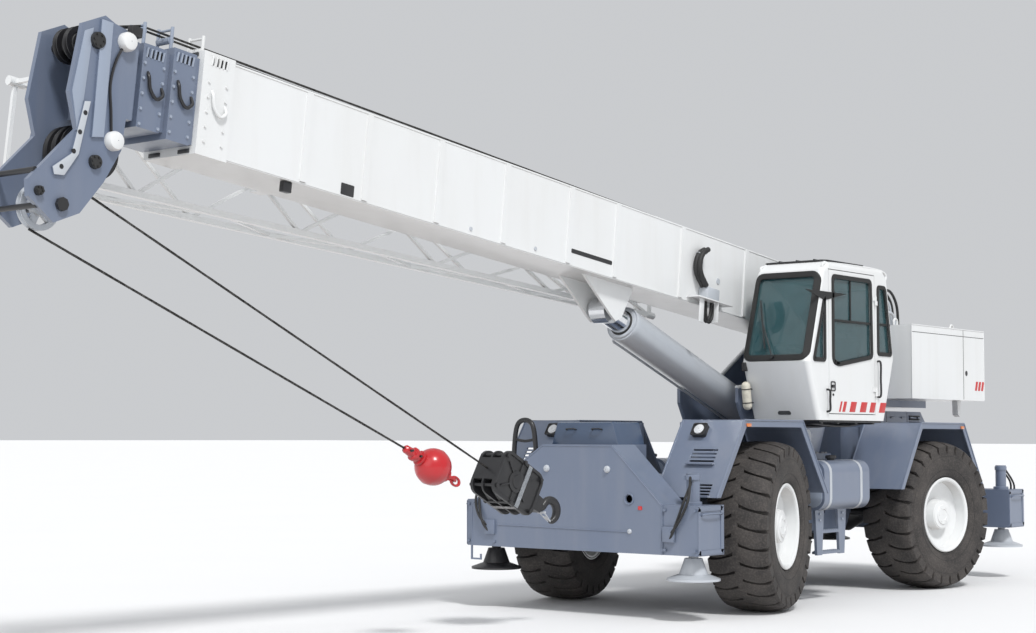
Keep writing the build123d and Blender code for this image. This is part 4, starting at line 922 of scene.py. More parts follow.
@dataclass
class Wheel:
    """One tyre and the bolts and valve of its rim."""

    shop: Workshop
    end: str
    side: str
    radius: float = 0.8075
    half_width: float = 0.2975
    lug_height: float = 0.040
    lugs_per_side: int = 28
    rim_radius: float = 0.402
    rim_face: float = 0.262
    wall_rings: tuple[Point3, ...] = (
        (0.435, 0.2675, 0.010), (0.500, 0.291, 0.006), (0.640, 0.293, 0.005),
    )

    def place(self) -> Matrix:
        """Matrix of the wheel: local +Y points outboard, and the origin is the wheel centre."""
        joint = next(
            j for j in self.shop.frame["record"]["behaviour"]["joints"]
            if j["name"] == f"spin_{self.end}_{self.side}"
        )
        axle = Vector(joint["axis"]).normalized()
        forward = axle.cross(Vector((0, 0, 1))).normalized()
        turn = Matrix((forward, axle, Vector((0, 0, 1)))).transposed().to_4x4()
        hand = Matrix.Identity(4) if self.side == "left" else Matrix.Diagonal((1, -1, 1, 1))
        return Matrix.Translation(Vector(joint["pos_m"])) @ turn @ hand

    def build(self) -> None:
        """Build the tyre and the rim's fittings."""
        body = f"wheel_{self.end}_{self.side}"
        tag = f"{self.end}_{self.side}"
        tyre = bmesh.new()
        self._carcass(tyre)
        self._lugs(tyre)
        self._into_place(tyre)
        self.shop.piece(f"dressed_tyre_{tag}", tyre, Finish.TYRE, body, 38.0, [f"tyre_{tag}"])
        rings = bmesh.new()
        self._wall_rings(rings)
        self._into_place(rings)
        self.shop.piece(f"tyre_rings_{tag}", rings, Finish.TYRE_WALL, body)
        fittings = bmesh.new()
        self._fittings(fittings)
        self._into_place(fittings)
        self.shop.piece(f"rim_fittings_{tag}", fittings, Finish.WHITE, body)
        self.shop.finish_node(f"rim_{tag}", Finish.WHITE)

    def _into_place(self, bm: bmesh.types.BMesh) -> None:
        """Move a mesh from the wheel's frame to the crane, with its faces outwards."""
        settle(bm, self.place())

    @staticmethod
    def _spin_y() -> Matrix:
        """Matrix that turns local Z of a lathe into the wheel's Y."""
        return Matrix.Rotation(-math.pi / 2, 4, "X")

    def _carcass(self, bm: bmesh.types.BMesh) -> None:
        """Rounded casing under the lugs."""
        crown = self.radius - self.lug_height
        wide = self.half_width
        half = [
            (self.rim_radius + 0.004, self.rim_face - 0.028), (0.425, 0.262), (0.462, 0.281),
            (0.520, wide - 0.004), (0.585, wide), (0.645, wide - 0.006), (0.690, wide - 0.024),
            (crown - 0.035, wide - 0.060), (crown - 0.008, wide - 0.120), (crown, 0.0),
        ]
        profile = half + [(radius, -y) for radius, y in reversed(half[:-1])]
        profile += [(self.rim_radius - 0.018, 0.035 - wide), (self.rim_radius - 0.018, wide - 0.08)]
        add_lathe(bm, profile, self._spin_y(), 112, closed=True)

    def _crown(self, across: float) -> float:
        """Radius of the lug tops at a distance from the tyre's middle."""
        share = min(abs(across) / self.half_width, 1.0)
        return self.radius - 0.003 - 0.052 * share ** 3.2

    def _lug(self) -> bmesh.types.BMesh:
        """One lug, from the middle of the tread over the shoulder, as a bent and bevelled block."""
        lug = bmesh.new()
        bmesh.ops.create_cube(lug, size=1.0)
        for station in (-0.36, -0.22, -0.08, 0.06, 0.20, 0.32, 0.42):
            geom = lug.verts[:] + lug.edges[:] + lug.faces[:]
            bmesh.ops.bisect_plane(lug, geom=geom, plane_co=(0, station, 0), plane_no=(0, 1, 0))
        top = [e for e in lug.edges if all(v.co.z > 0.49 for v in e.verts)]
        rim = [e for e in top if any(abs(f.normal.z) < 0.5 for f in e.link_faces)]
        upright = [
            e for e in lug.edges
            if abs(e.verts[0].co.z - e.verts[1].co.z) > 0.5 and all(v.co.y < -0.49 for v in e.verts)
        ]
        bmesh.ops.bevel(
            lug, geom=rim + upright, offset=0.05, offset_type="OFFSET", segments=1, profile=0.5,
            affect="EDGES", material=-1,
        )
        pitch = math.tau / self.lugs_per_side
        inner, outer = -0.030, self.half_width - 0.004
        for vert in lug.verts:
            along = vert.co.y + 0.5
            across = inner + (outer - inner) * along
            lag = pitch * (0.10 + 1.05 * along - 0.55 * along ** 2)
            width = pitch * (0.58 + 0.30 * math.sin(math.pi * min(along * 0.62 + 0.16, 1.0)))
            crest = self._crown(across)
            foot = crest - self.lug_height - 0.004 - 0.010 * along
            if along > 0.9:
                foot -= 0.075
            radius = foot + (crest - foot) * (vert.co.z + 0.5)
            if along > 0.99 and vert.co.z < 0:
                across -= 0.010
            angle = lag + width * vert.co.x
            vert.co = (radius * math.sin(angle), across, radius * math.cos(angle))
        bmesh.ops.recalc_face_normals(lug, faces=lug.faces)
        return lug

    def _lugs(self, bm: bmesh.types.BMesh) -> None:
        """All lugs, staggered left and right."""
        pitch = math.tau / self.lugs_per_side
        for hand in (1, -1):
            lugs = self._lug()
            if hand < 0:
                bmesh.ops.transform(lugs, matrix=Matrix.Diagonal((1, -1, 1, 1)), verts=lugs.verts)
                bmesh.ops.reverse_faces(lugs, faces=lugs.faces)
                bmesh.ops.rotate(
                    lugs, verts=lugs.verts, matrix=Matrix.Rotation(pitch / 2, 3, "Y")
                )
            bmesh.ops.spin(
                lugs, geom=lugs.verts[:] + lugs.edges[:] + lugs.faces[:], cent=(0, 0, 0),
                axis=(0, 1, 0), angle=math.tau - pitch, steps=self.lugs_per_side - 1,
                use_duplicate=True,
            )
            add_mesh(bm, lugs)

    def _wall_rings(self, bm: bmesh.types.BMesh) -> None:
        """Raised rings on both side walls."""
        for hand in (1, -1):
            for radius, height, wide in self.wall_rings:
                profile = [
                    (radius - wide, hand * (height - 0.008)), (radius - wide * 0.5, hand * height),
                    (radius + wide * 0.5, hand * height), (radius + wide, hand * (height - 0.008)),
                ]
                add_lathe(bm, profile, self._spin_y(), 96, closed=True)

    def _fittings(self, bm: bmesh.types.BMesh) -> None:
        """Lock ring, hub cap bolts and valve on the outboard side."""
        lip, face = self.rim_radius, self.rim_face
        ring = [
            (lip - 0.034, face - 0.030), (lip - 0.030, face - 0.004), (lip - 0.020, face + 0.004),
            (lip - 0.004, face + 0.006), (lip + 0.006, face - 0.002), (lip + 0.002, face - 0.012),
        ]
        add_lathe(bm, ring, self._spin_y(), 96, closed=True)
        hub = [
            (0.150, 0.200), (0.146, 0.213), (0.110, 0.219), (0.104, 0.228), (0.060, 0.232),
            (0.056, 0.226), (0.004, 0.226),
        ]
        add_lathe(bm, hub, self._spin_y(), 64)
        for index in range(6):
            angle = math.tau * (index + 0.5) / 6
            at = Vector((0.082 * math.sin(angle), 0.229, 0.082 * math.cos(angle)))
            add_bolt(bm, at, Vector((0, 1, 0)), 0.007)
        add_tube(
            bm, [(0.0, 0.125, 0.335), (0.0, 0.165, 0.345), (0.0, 0.205, 0.352)], 0.006, 8
        )


# ------------------------------------------------------------------ hoist ropes


@dataclass
class HoistRopes:
    """Twisted wire ropes that stand for the frame's plain ones."""

    shop: Workshop
    radius: float = 0.0095
    lay: float = 0.11
    strands: int = 6

    def build(self) -> None:
        """Lay a twisted rope over each solid of the frame's ropes."""
        bm = bmesh.new()
        for start, end in self._runs():
            self._rope(bm, start, end)
        self.shop.piece("twisted_ropes", bm, Finish.WIRE, Body.BOOM_TIP, 60.0, ["ropes"])

    def _runs(self) -> list[tuple[Vector, Vector]]:
        """End points of every straight rope, read from the frame's mesh."""
        source = bmesh.new()
        source.from_mesh(self.shop.frame["nodes"]["ropes"].data)
        bmesh.ops.remove_doubles(source, verts=source.verts, dist=0.0005)
        left = set(source.verts)
        runs = []
        while left:
            island, queue = set(), [left.pop()]
            while queue:
                vert = queue.pop()
                island.add(vert)
                for edge in vert.link_edges:
                    other = edge.other_vert(vert)
                    if other in left:
                        left.discard(other)
                        queue.append(other)
            points = [v.co.copy() for v in island]
            runs.extend(self._ends(points))
        source.free()
        return runs

    @staticmethod
    def _ends(points: list[Vector]) -> list[tuple[Vector, Vector]]:
        """Middle of the first and last ring of one rope's points."""
        far = max(points, key=lambda p: (p - points[0]).length)
        near = max(points, key=lambda p: (p - far).length)
        heading = (far - near).normalized()
        spans = [(p - near).dot(heading) for p in points]
        low, high = min(spans), max(spans)
        first = [p for p, s in zip(points, spans) if s < low + 0.03]
        last = [p for p, s in zip(points, spans) if s > high - 0.03]
        return [(sum(first, Vector()) / len(first), sum(last, Vector()) / len(last))]

    def _rope(self, bm: bmesh.types.BMesh, start: Vector, end: Vector) -> None:
        """One rope of twisted strands."""
        length = (end - start).length
        place = aim(start, end)
        turns = length / self.lay
        steps = max(int(turns * 9), 4)
        strand_radius = self.radius * 0.36
        for index in range(self.strands):
            phase = math.tau * index / self.strands
            path = []
            for step in range(steps + 1):
                angle = phase + math.tau * turns * step / steps
                reach = self.radius - strand_radius
                local = (reach * math.cos(angle), reach * math.sin(angle), length * step / steps)
                path.append(place @ Vector(local))
            add_strand(bm, path, strand_radius)


def add_strand(bm: bmesh.types.BMesh, path: Sequence[Vector], radius: float) -> None:
    """Sweep a small square section along many close points."""
    part = bmesh.new()
    heading = path[1] - path[0]
    bmesh.ops.create_circle(
        part, cap_ends=True, segments=4, radius=radius, matrix=aim(path[0], path[1])
    )
    ring = part.edges[:]
    for index in range(1, len(path)):
        grown = bmesh.ops.extrude_edge_only(part, edges=ring)["geom"]
        verts = [item for item in grown if isinstance(item, bmesh.types.BMVert)]
        ring = [item for item in grown if isinstance(item, bmesh.types.BMEdge)]
        following = path[min(index + 1, len(path) - 1)] - path[index - 1]
        bmesh.ops.translate(part, verts=verts, vec=path[index] - path[index - 1])
        turn = heading.rotation_difference(following).to_matrix()
        bmesh.ops.rotate(part, verts=verts, cent=path[index], matrix=turn)
        heading = following
    bmesh.ops.contextual_create(part, geom=ring)
    bmesh.ops.recalc_face_normals(part, faces=part.faces)
    add_mesh(bm, part)


# ------------------------------------------------------------------ cab


@dataclass
class Cab:
    """Rubbers, handles, stripes, lamp and controls of the cab."""

    shop: Workshop
    inner_y: float = 0.480
    outer_y: float = 1.250
    roof: float = 3.400
    front_line: tuple[Point2, Point2] = ((1.100, 2.375), (0.800, 3.310))
    rear_line: tuple[Point2, Point2] = ((-0.750, 2.450), (-0.610, 3.300))
    edge_radius: float = 0.055
    rear_quarter: tuple[Point2, ...] = (
        (-0.370, 2.500), (-0.370, 3.200), (-0.545, 3.200), (-0.660, 2.500),
    )
    front_quarter: tuple[Point2, ...] = (
        (0.770, 2.400), (1.000, 2.400), (0.800, 3.020), (0.770, 3.020),
    )
    right_window: tuple[Point2, ...] = (
        (-0.560, 2.450), (-0.520, 3.260), (0.740, 3.260), (0.980, 2.420),
    )
    door_window: tuple[Point2, ...] = (
        (-0.230, 2.460), (-0.210, 3.250), (0.600, 3.250), (0.600, 2.400), (0.490, 2.360),
    )
    door_front: float = 0.690
    door_rear: float = -0.300
    stripe_low: float = 1.886
    stripe_high: float = 1.990
    # rear end and width of each stripe along its foot
    stripes: tuple[Point2, ...] = (
        (0.455, 0.035), (0.360, 0.060), (0.150, 0.120), (-0.080, 0.130), (-0.270, 0.110),
        (-0.500, 0.130),
    )

    @property
    def middle_y(self) -> float:
        """Middle of the cab across the crane."""
        return (self.inner_y + self.outer_y) / 2

    def build(self) -> None:
        """Build all of the cab's trim."""
        self._rubbers()
        self._screens()
        self._roof_trim()
        self._door_trim()
        self._stripes()
        self._lamp()
        self._painted_shade_floor_pan()
        self._controls()

    def _rubbers(self) -> None:
        """Rubbers round the side windows, and the seal in the door's gap."""
        outer, inner = side_view(self.outer_y), side_view(self.inner_y, -1)
        with self.shop.making("window_rubbers", Finish.SEAL, Body.UPPER) as bm:
            for outline in (self.rear_quarter, self.front_quarter):
                add_plate(bm, grown(outline, 0.022), 0.010, outer, 0.05, 0.003, 0.042)
            add_plate(bm, grown(self.right_window, 0.022), 0.010, inner, 0.07, 0.003, 0.045)
            add_block(bm, crane(-0.512, self.outer_y - 0.006, 2.812), (0.275, 0.016, 0.022), 0.003)
            door = [
                (self.door_rear, 1.862), (self.door_front, 1.862), (self.door_front, 3.318),
                (self.door_rear, 3.318),
            ]
            add_plate(bm, door, 0.014, side_view(self.outer_y - 0.046), hole=0.006)
        with self.shop.making("door_rubbers", Finish.SEAL, Body.DOOR) as bm:
            add_plate(bm, grown(self.door_window, 0.022), 0.010, outer, 0.06, 0.003, 0.045)
            add_block(bm, crane(0.192, self.outer_y - 0.006, 2.806), (0.800, 0.016, 0.024), 0.003)
            add_block(bm, crane(0.215, self.outer_y - 0.008, 3.020), (0.020, 0.012, 0.420), 0.003)

    def _wall(self, line: tuple[Point2, Point2], facing: int) -> Matrix:
        """Matrix of a sloping wall, with local Y up the wall from its lower point.

        Args:
            line: Lower and upper point of the wall in side view.
            facing: 1 for the front wall, -1 for the rear one.

        Returns:
            The matrix, whose local Z points out of the cab.
        """
        (low_x, low_z), (high_x, high_z) = line
        up = (high_x - low_x, 0.0, high_z - low_z)
        return basis(crane(low_x, self.middle_y, low_z), (0.0, facing, 0.0), up)

    def _wrap(self, part: bmesh.types.BMesh) -> None:
        """Bend a frame's sides round the cab's rounded edges."""
        flat = (self.outer_y - self.inner_y) / 2 - self.edge_radius
        for vert in part.verts:
            past = abs(vert.co.x) - flat
            if past > 0:
                drop = self.edge_radius - math.sqrt(max(self.edge_radius ** 2 - past ** 2, 0.0))
                vert.co.z -= drop

    def _screens(self) -> None:
        """Frames of the windscreen and the rear window, and the wiper."""
        front, rear = self._wall(self.front_line, 1), self._wall(self.rear_line, -1)
        with self.shop.making("screen_rubbers", Finish.SEAL, Body.UPPER) as bm:
            for place, half, low, high, ring in (
                (front, 0.377, 0.010, 0.962, 0.064), (rear, 0.345, 0.020, 0.792, 0.052),
            ):
                part = bmesh.new()
                corners = [(-half, low), (half, low), (half, high), (-half, high)]
                add_plate(part, corners, 0.014, Matrix.Identity(4), 0.10, 0.004, ring)
                self._wrap(part)
                settle(part, place)
                add_mesh(bm, part)
        with self.shop.making("wiper", Finish.BLACK, Body.UPPER) as bm:
            hub = Vector((-0.02, 0.045, 0.030))
            tip = Vector((-0.20, 0.430, 0.020))
            add_rod(bm, front @ (hub - Vector((0, 0, 0.03))), front @ (hub + Vector((0, 0, 0.012))), 0.020)
            add_tube(bm, [front @ hub, front @ hub.lerp(tip, 0.5), front @ tip], 0.007, 8)
            along = Vector((-0.12, 0.45, 0.0)).normalized()
            start, end = tip - along * 0.30, tip + along * 0.24
            add_tube(bm, [front @ start, front @ tip, front @ end], 0.009, 6)
            add_block(bm, crane(1.085, 0.515, 2.335), (0.05, 0.05, 0.09), 0.008)

    def _roof_trim(self) -> None:
        """Roof window, its frame, gutters and grab rails."""
        with self.shop.making("roof_pane", Finish.ROOF_GLASS, Body.UPPER) as bm:
            corners = [(-0.125, -0.335), (0.665, -0.335), (0.665, 0.335), (-0.125, 0.335)]
            top = Matrix.Translation(crane(0.0, self.middle_y, self.roof - 0.002))
            add_plate(bm, corners, 0.022, top, 0.06, 0.008)
        with self.shop.making("roof_frame", Finish.BLACK, Body.UPPER) as bm:
            top = Matrix.Translation(crane(0.0, self.middle_y, self.roof - 0.004))
            add_plate(bm, grown(corners, 0.030), 0.018, top, 0.07, 0.005, 0.045)
            for offset in (-0.20, 0.0, 0.20):
                add_block(bm, crane(0.27, self.middle_y + offset, self.roof + 0.024), (0.76, 0.016, 0.012), 0.004)
        with self.shop.making("roof_gutters", Finish.WHITE, Body.UPPER) as bm:
            for y in (self.inner_y + 0.030, self.outer_y - 0.030):
                run = [(-0.60, 3.27), (-0.50, 3.382), (0.62, 3.382), (0.76, 3.30), (0.82, 3.15)]
                add_tube(bm, [crane(x, y, z) for x, z in run], 0.013, 10, 6)

    def _door_trim(self) -> None:
        """Grab handle beside the door, and the door's lock."""
        with self.shop.making("grab_handles", Finish.BLACK, Body.UPPER) as bm:
            for x, low, high in ((0.735, 1.885, 2.105), (-0.352, 2.05, 2.42)):
                face, out = self.outer_y - 0.004, self.outer_y + 0.038
                run = [(face, low), (out, low + 0.015), (out, (low + high) / 2), (out, high - 0.015), (face, high)]
                add_tube(bm, [crane(x, y, z) for y, z in run], 0.011, 10, 6)
        with self.shop.making("door_lock", Finish.BLACK, Body.DOOR) as bm:
            plate = [(0.560, 2.090), (0.655, 2.090), (0.655, 2.190), (0.560, 2.190)]
            add_plate(bm, plate, 0.008, side_view(self.outer_y), 0.02, 0.003, 0.012)
            add_block(bm, crane(0.605, self.outer_y + 0.006, 2.140), (0.060, 0.012, 0.030), 0.004)
            add_rod(bm, crane(0.607, self.outer_y, 2.055), crane(0.607, self.outer_y + 0.008, 2.055), 0.012)

    def _stripes(self) -> None:
        """Slanted stripes along the foot of the cab, on the door and behind it."""
        lean = 0.045
        for name, body, on_door in (
            ("door_stripes", Body.DOOR, True), ("cab_stripes", Body.UPPER, False),
        ):
            with self.shop.making(name, Finish.STRIPE_RED, body) as bm:
                for foot, width in self.stripes:
                    if (foot - lean > self.door_rear + 0.01) != on_door:
                        continue
                    bar = [
                        (foot, self.stripe_low), (foot + width, self.stripe_low),
                        (foot + width - lean, self.stripe_high), (foot - lean, self.stripe_high),
                    ]
                    add_plate(bm, bar, 0.002, side_view(self.outer_y), bevel=0.0005)

    def _lamp(self) -> None:
        """Upright capsule lamp at the foot of the front wall."""
        foot, head = crane(1.070, 0.535, 1.945), crane(1.100, 0.535, 2.140)
        with self.shop.making("capsule_lamp", Finish.PALE_PLASTIC, Body.UPPER) as bm:
            length = (head - foot).length
            ends = [(0.046 * math.sin(a), -0.046 * math.cos(a)) for a in (0.1, 0.5, 0.9, 1.3, 1.57)]
            profile = ends + [(radius, length - height) for radius, height in reversed(ends)]
            add_lathe(bm, profile, aim(foot, head), 36)
        with self.shop.making("lamp_bracket", Finish.BLACK, Body.UPPER) as bm:
            for share in (0.15, 0.85):
                at = foot.lerp(head, share)
                add_block(bm, at - Vector((0.055, 0.0, 0.0)), (0.10, 0.030, 0.014), 0.003)
                add_ring(bm, aim(at, head), 0.047, 0.005, 36, 8)

    def _painted_shade_floor_pan(self) -> None:
        """Pan, ribs and hoses under the cab's floor, drawn black as painted shade under the cab."""
        # Painted shade: the black pan, ribs and hoses stand for the shade under the cab.
        with self.shop.making("cab_floor_pan", Finish.BLACK, Body.UPPER) as bm:
            add_block(bm, crane(0.170, self.middle_y, 1.789), (1.32, 0.70, 0.020), 0.006)
            for x in (-0.36, 0.02, 0.40, 0.74):
                add_block(bm, crane(x, self.middle_y, 1.774), (0.050, 0.66, 0.022), 0.005)
            for y, sag in ((0.62, 0.030), (0.70, 0.045), (1.02, 0.035)):
                run = [(-0.42, 1.775), (-0.10, 1.765 - sag / 2), (0.30, 1.768 - sag / 2), (0.70, 1.775)]
                add_tube(bm, [crane(x, y, z) for x, z in run], 0.014, 8, 6)

    def _controls(self) -> None:
        """Dash, side consoles, joysticks, steering wheel and pedals."""
        with self.shop.making("dash_and_consoles", Finish.PLASTIC, Body.UPPER) as bm:
            add_block(bm, crane(0.905, self.middle_y, 2.290), (0.18, 0.46, 0.12), 0.03)
            add_block(bm, crane(0.865, self.middle_y, 2.060), (0.10, 0.16, 0.42), 0.02)
            for y in (0.578, 1.152):
                add_block(bm, crane(-0.300, y, 2.310), (0.30, 0.075, 0.10), 0.02)
                add_block(bm, crane(-0.330, y, 2.070), (0.16, 0.060, 0.40), 0.02)
                stick = [crane(-0.200, y, 2.350), crane(-0.190, y, 2.430), crane(-0.170, y, 2.500)]
                add_tube(bm, stick, 0.012, 10, 6, (1.0, 0.8, 1.9))
            for y in (0.740, 0.985):
                pedal = basis(crane(0.700, y, 1.930), (0, 1, 0), (0.35, 0, 1))
                add_plate(bm, [(-0.045, -0.07), (0.045, -0.07), (0.045, 0.07), (-0.045, 0.07)], 0.014, pedal, 0.015, 0.004)
        with self.shop.making("steering_wheel", Finish.PLASTIC, Body.UPPER) as bm:
            foot, hub = crane(0.900, self.middle_y, 2.180), crane(0.775, self.middle_y, 2.500)
            add_rod(bm, foot, hub, 0.024, 20)
            place = aim(hub, hub + (hub - foot))
            add_ring(bm, place, 0.165, 0.013, 48, 10)
            add_lathe(bm, [(0.004, 0.03), (0.040, 0.026), (0.050, 0.0), (0.035, -0.03)], place, 32)
            for turn in (90, 210, 330):
                angle = math.radians(turn)
                rim = place @ Vector((0.160 * math.cos(angle), 0.160 * math.sin(angle), 0.0))
                add_tube(bm, [hub, hub.lerp(rim, 0.5), rim], 0.010, 8, 4)


@dataclass
class Seat:
    """Operator's seat: two swollen cushions and a headrest on a pedestal."""

    shop: Workshop
    middle_y: float = 0.865
    voxel: float = 0.011

    def build(self) -> None:
        """Build the seat in place of the frame's plain one."""
        with self.shop.making(
            "seat_pedestal", Finish.PLASTIC, Body.UPPER, replaces=["operator_seat"]
        ) as bm:
            add_block(bm, crane(-0.060, self.middle_y, 1.865), (0.34, 0.30, 0.040), 0.008)
            for level in range(4):
                add_block(bm, crane(-0.060, self.middle_y, 1.905 + 0.042 * level), (0.27, 0.27, 0.036), 0.014)
            add_block(bm, crane(-0.070, self.middle_y, 2.065), (0.40, 0.36, 0.030), 0.010)
            add_tube(bm, [crane(-0.26, self.middle_y, 2.09), crane(-0.33, self.middle_y, 2.30), crane(-0.40, self.middle_y, 2.72)], 0.022, 12)
        lean = Matrix.Rotation(math.radians(-11.0), 4, "Y")
        for name, centre, size, turn, cap in (
            ("seat_cushion", (-0.060, 2.128), (0.455, 0.455, 0.082), Matrix.Identity(4), 0.014),
            ("seat_back", (-0.300, 2.440), (0.075, 0.410, 0.480), lean, 0.014),
            ("seat_headrest", (-0.375, 2.805), (0.065, 0.250, 0.150), lean, 0.010),
        ):
            place = Matrix.Translation(crane(centre[0], self.middle_y, centre[1])) @ turn
            self._pad(name, size, place, cap)

    def _pad(self, name: str, size: Point3, place: Matrix, cap: float) -> None:
        """One pad: a rounded block, swollen by a short cloth simulation.

        Args:
            name: Name of the piece.
            size: Its lengths before it swells.
            place: Matrix of its middle.
            cap: How far a point may move.
        """
        bm = bmesh.new()
        bmesh.ops.create_cube(bm, size=1.0, matrix=Matrix.Diagonal((*size, 1.0)))
        bmesh.ops.bevel(
            bm, geom=bm.edges[:], offset=min(size) * 0.36, offset_type="OFFSET", segments=4,
            profile=0.5, affect="EDGES", material=-1,
        )
        bmesh.ops.subdivide_edges(bm, edges=bm.edges[:], cuts=1, use_grid_fill=True)
        settle(bm, place)
        pad = self.shop.piece(name, bm, Finish.CLOTH, Body.UPPER, 60.0)
        self._swell(pad, cap)
        self._piping(name, size, place)

    def _swell(self, pad: bpy.types.Object, cap: float) -> None:
        """Remesh a pad and let air pressure fill it."""
        remesh = pad.modifiers.new("remesh", "REMESH")
        remesh.mode = "VOXEL"
        remesh.voxel_size = self.voxel
        self._bake(pad)
        rest = [vert.co.copy() for vert in pad.data.vertices]
        cloth = pad.modifiers.new("cloth", "CLOTH")
        cloth.settings.use_pressure = True
        cloth.settings.uniform_pressure_force = 4.0
        cloth.settings.effector_weights.gravity = 0.0
        for frame in range(1, 21):
            bpy.context.scene.frame_set(frame)
        self._bake(pad)
        for vert, start in zip(pad.data.vertices, rest):
            moved = vert.co - start
            if moved.length > cap:
                vert.co = start + moved.normalized() * cap
        bpy.context.scene.frame_set(1)
        for polygon in pad.data.polygons:
            polygon.use_smooth = True

    @staticmethod
    def _bake(item: bpy.types.Object) -> None:
        """Apply an object's modifiers to its mesh."""
        graph = bpy.context.evaluated_depsgraph_get()
        mesh = bpy.data.meshes.new_from_object(item.evaluated_get(graph))
        item.modifiers.clear()
        item.data = mesh

    def _piping(self, name: str, size: Point3, place: Matrix) -> None:
        """Sewn welt round the pad's largest face."""
        thin = size.index(min(size))
        across, up = (axis for axis in range(3) if axis != thin)
        corners = []
        for turn in range(48):
            angle = math.tau * turn / 48
            point = Vector((0.0, 0.0, 0.0))
            for axis, share in ((across, math.cos(angle)), (up, math.sin(angle))):
                point[axis] = size[axis] * 0.485 * math.copysign(abs(share) ** 0.35, share)
            point[thin] = size[thin] * 0.30
            corners.append(place @ point)
        with self.shop.making(f"{name}_welt", Finish.PLASTIC, Body.UPPER) as bm:
            add_tube(bm, corners + corners[:1], 0.0035, 6, 2)


# ------------------------------------------------------------------ boom


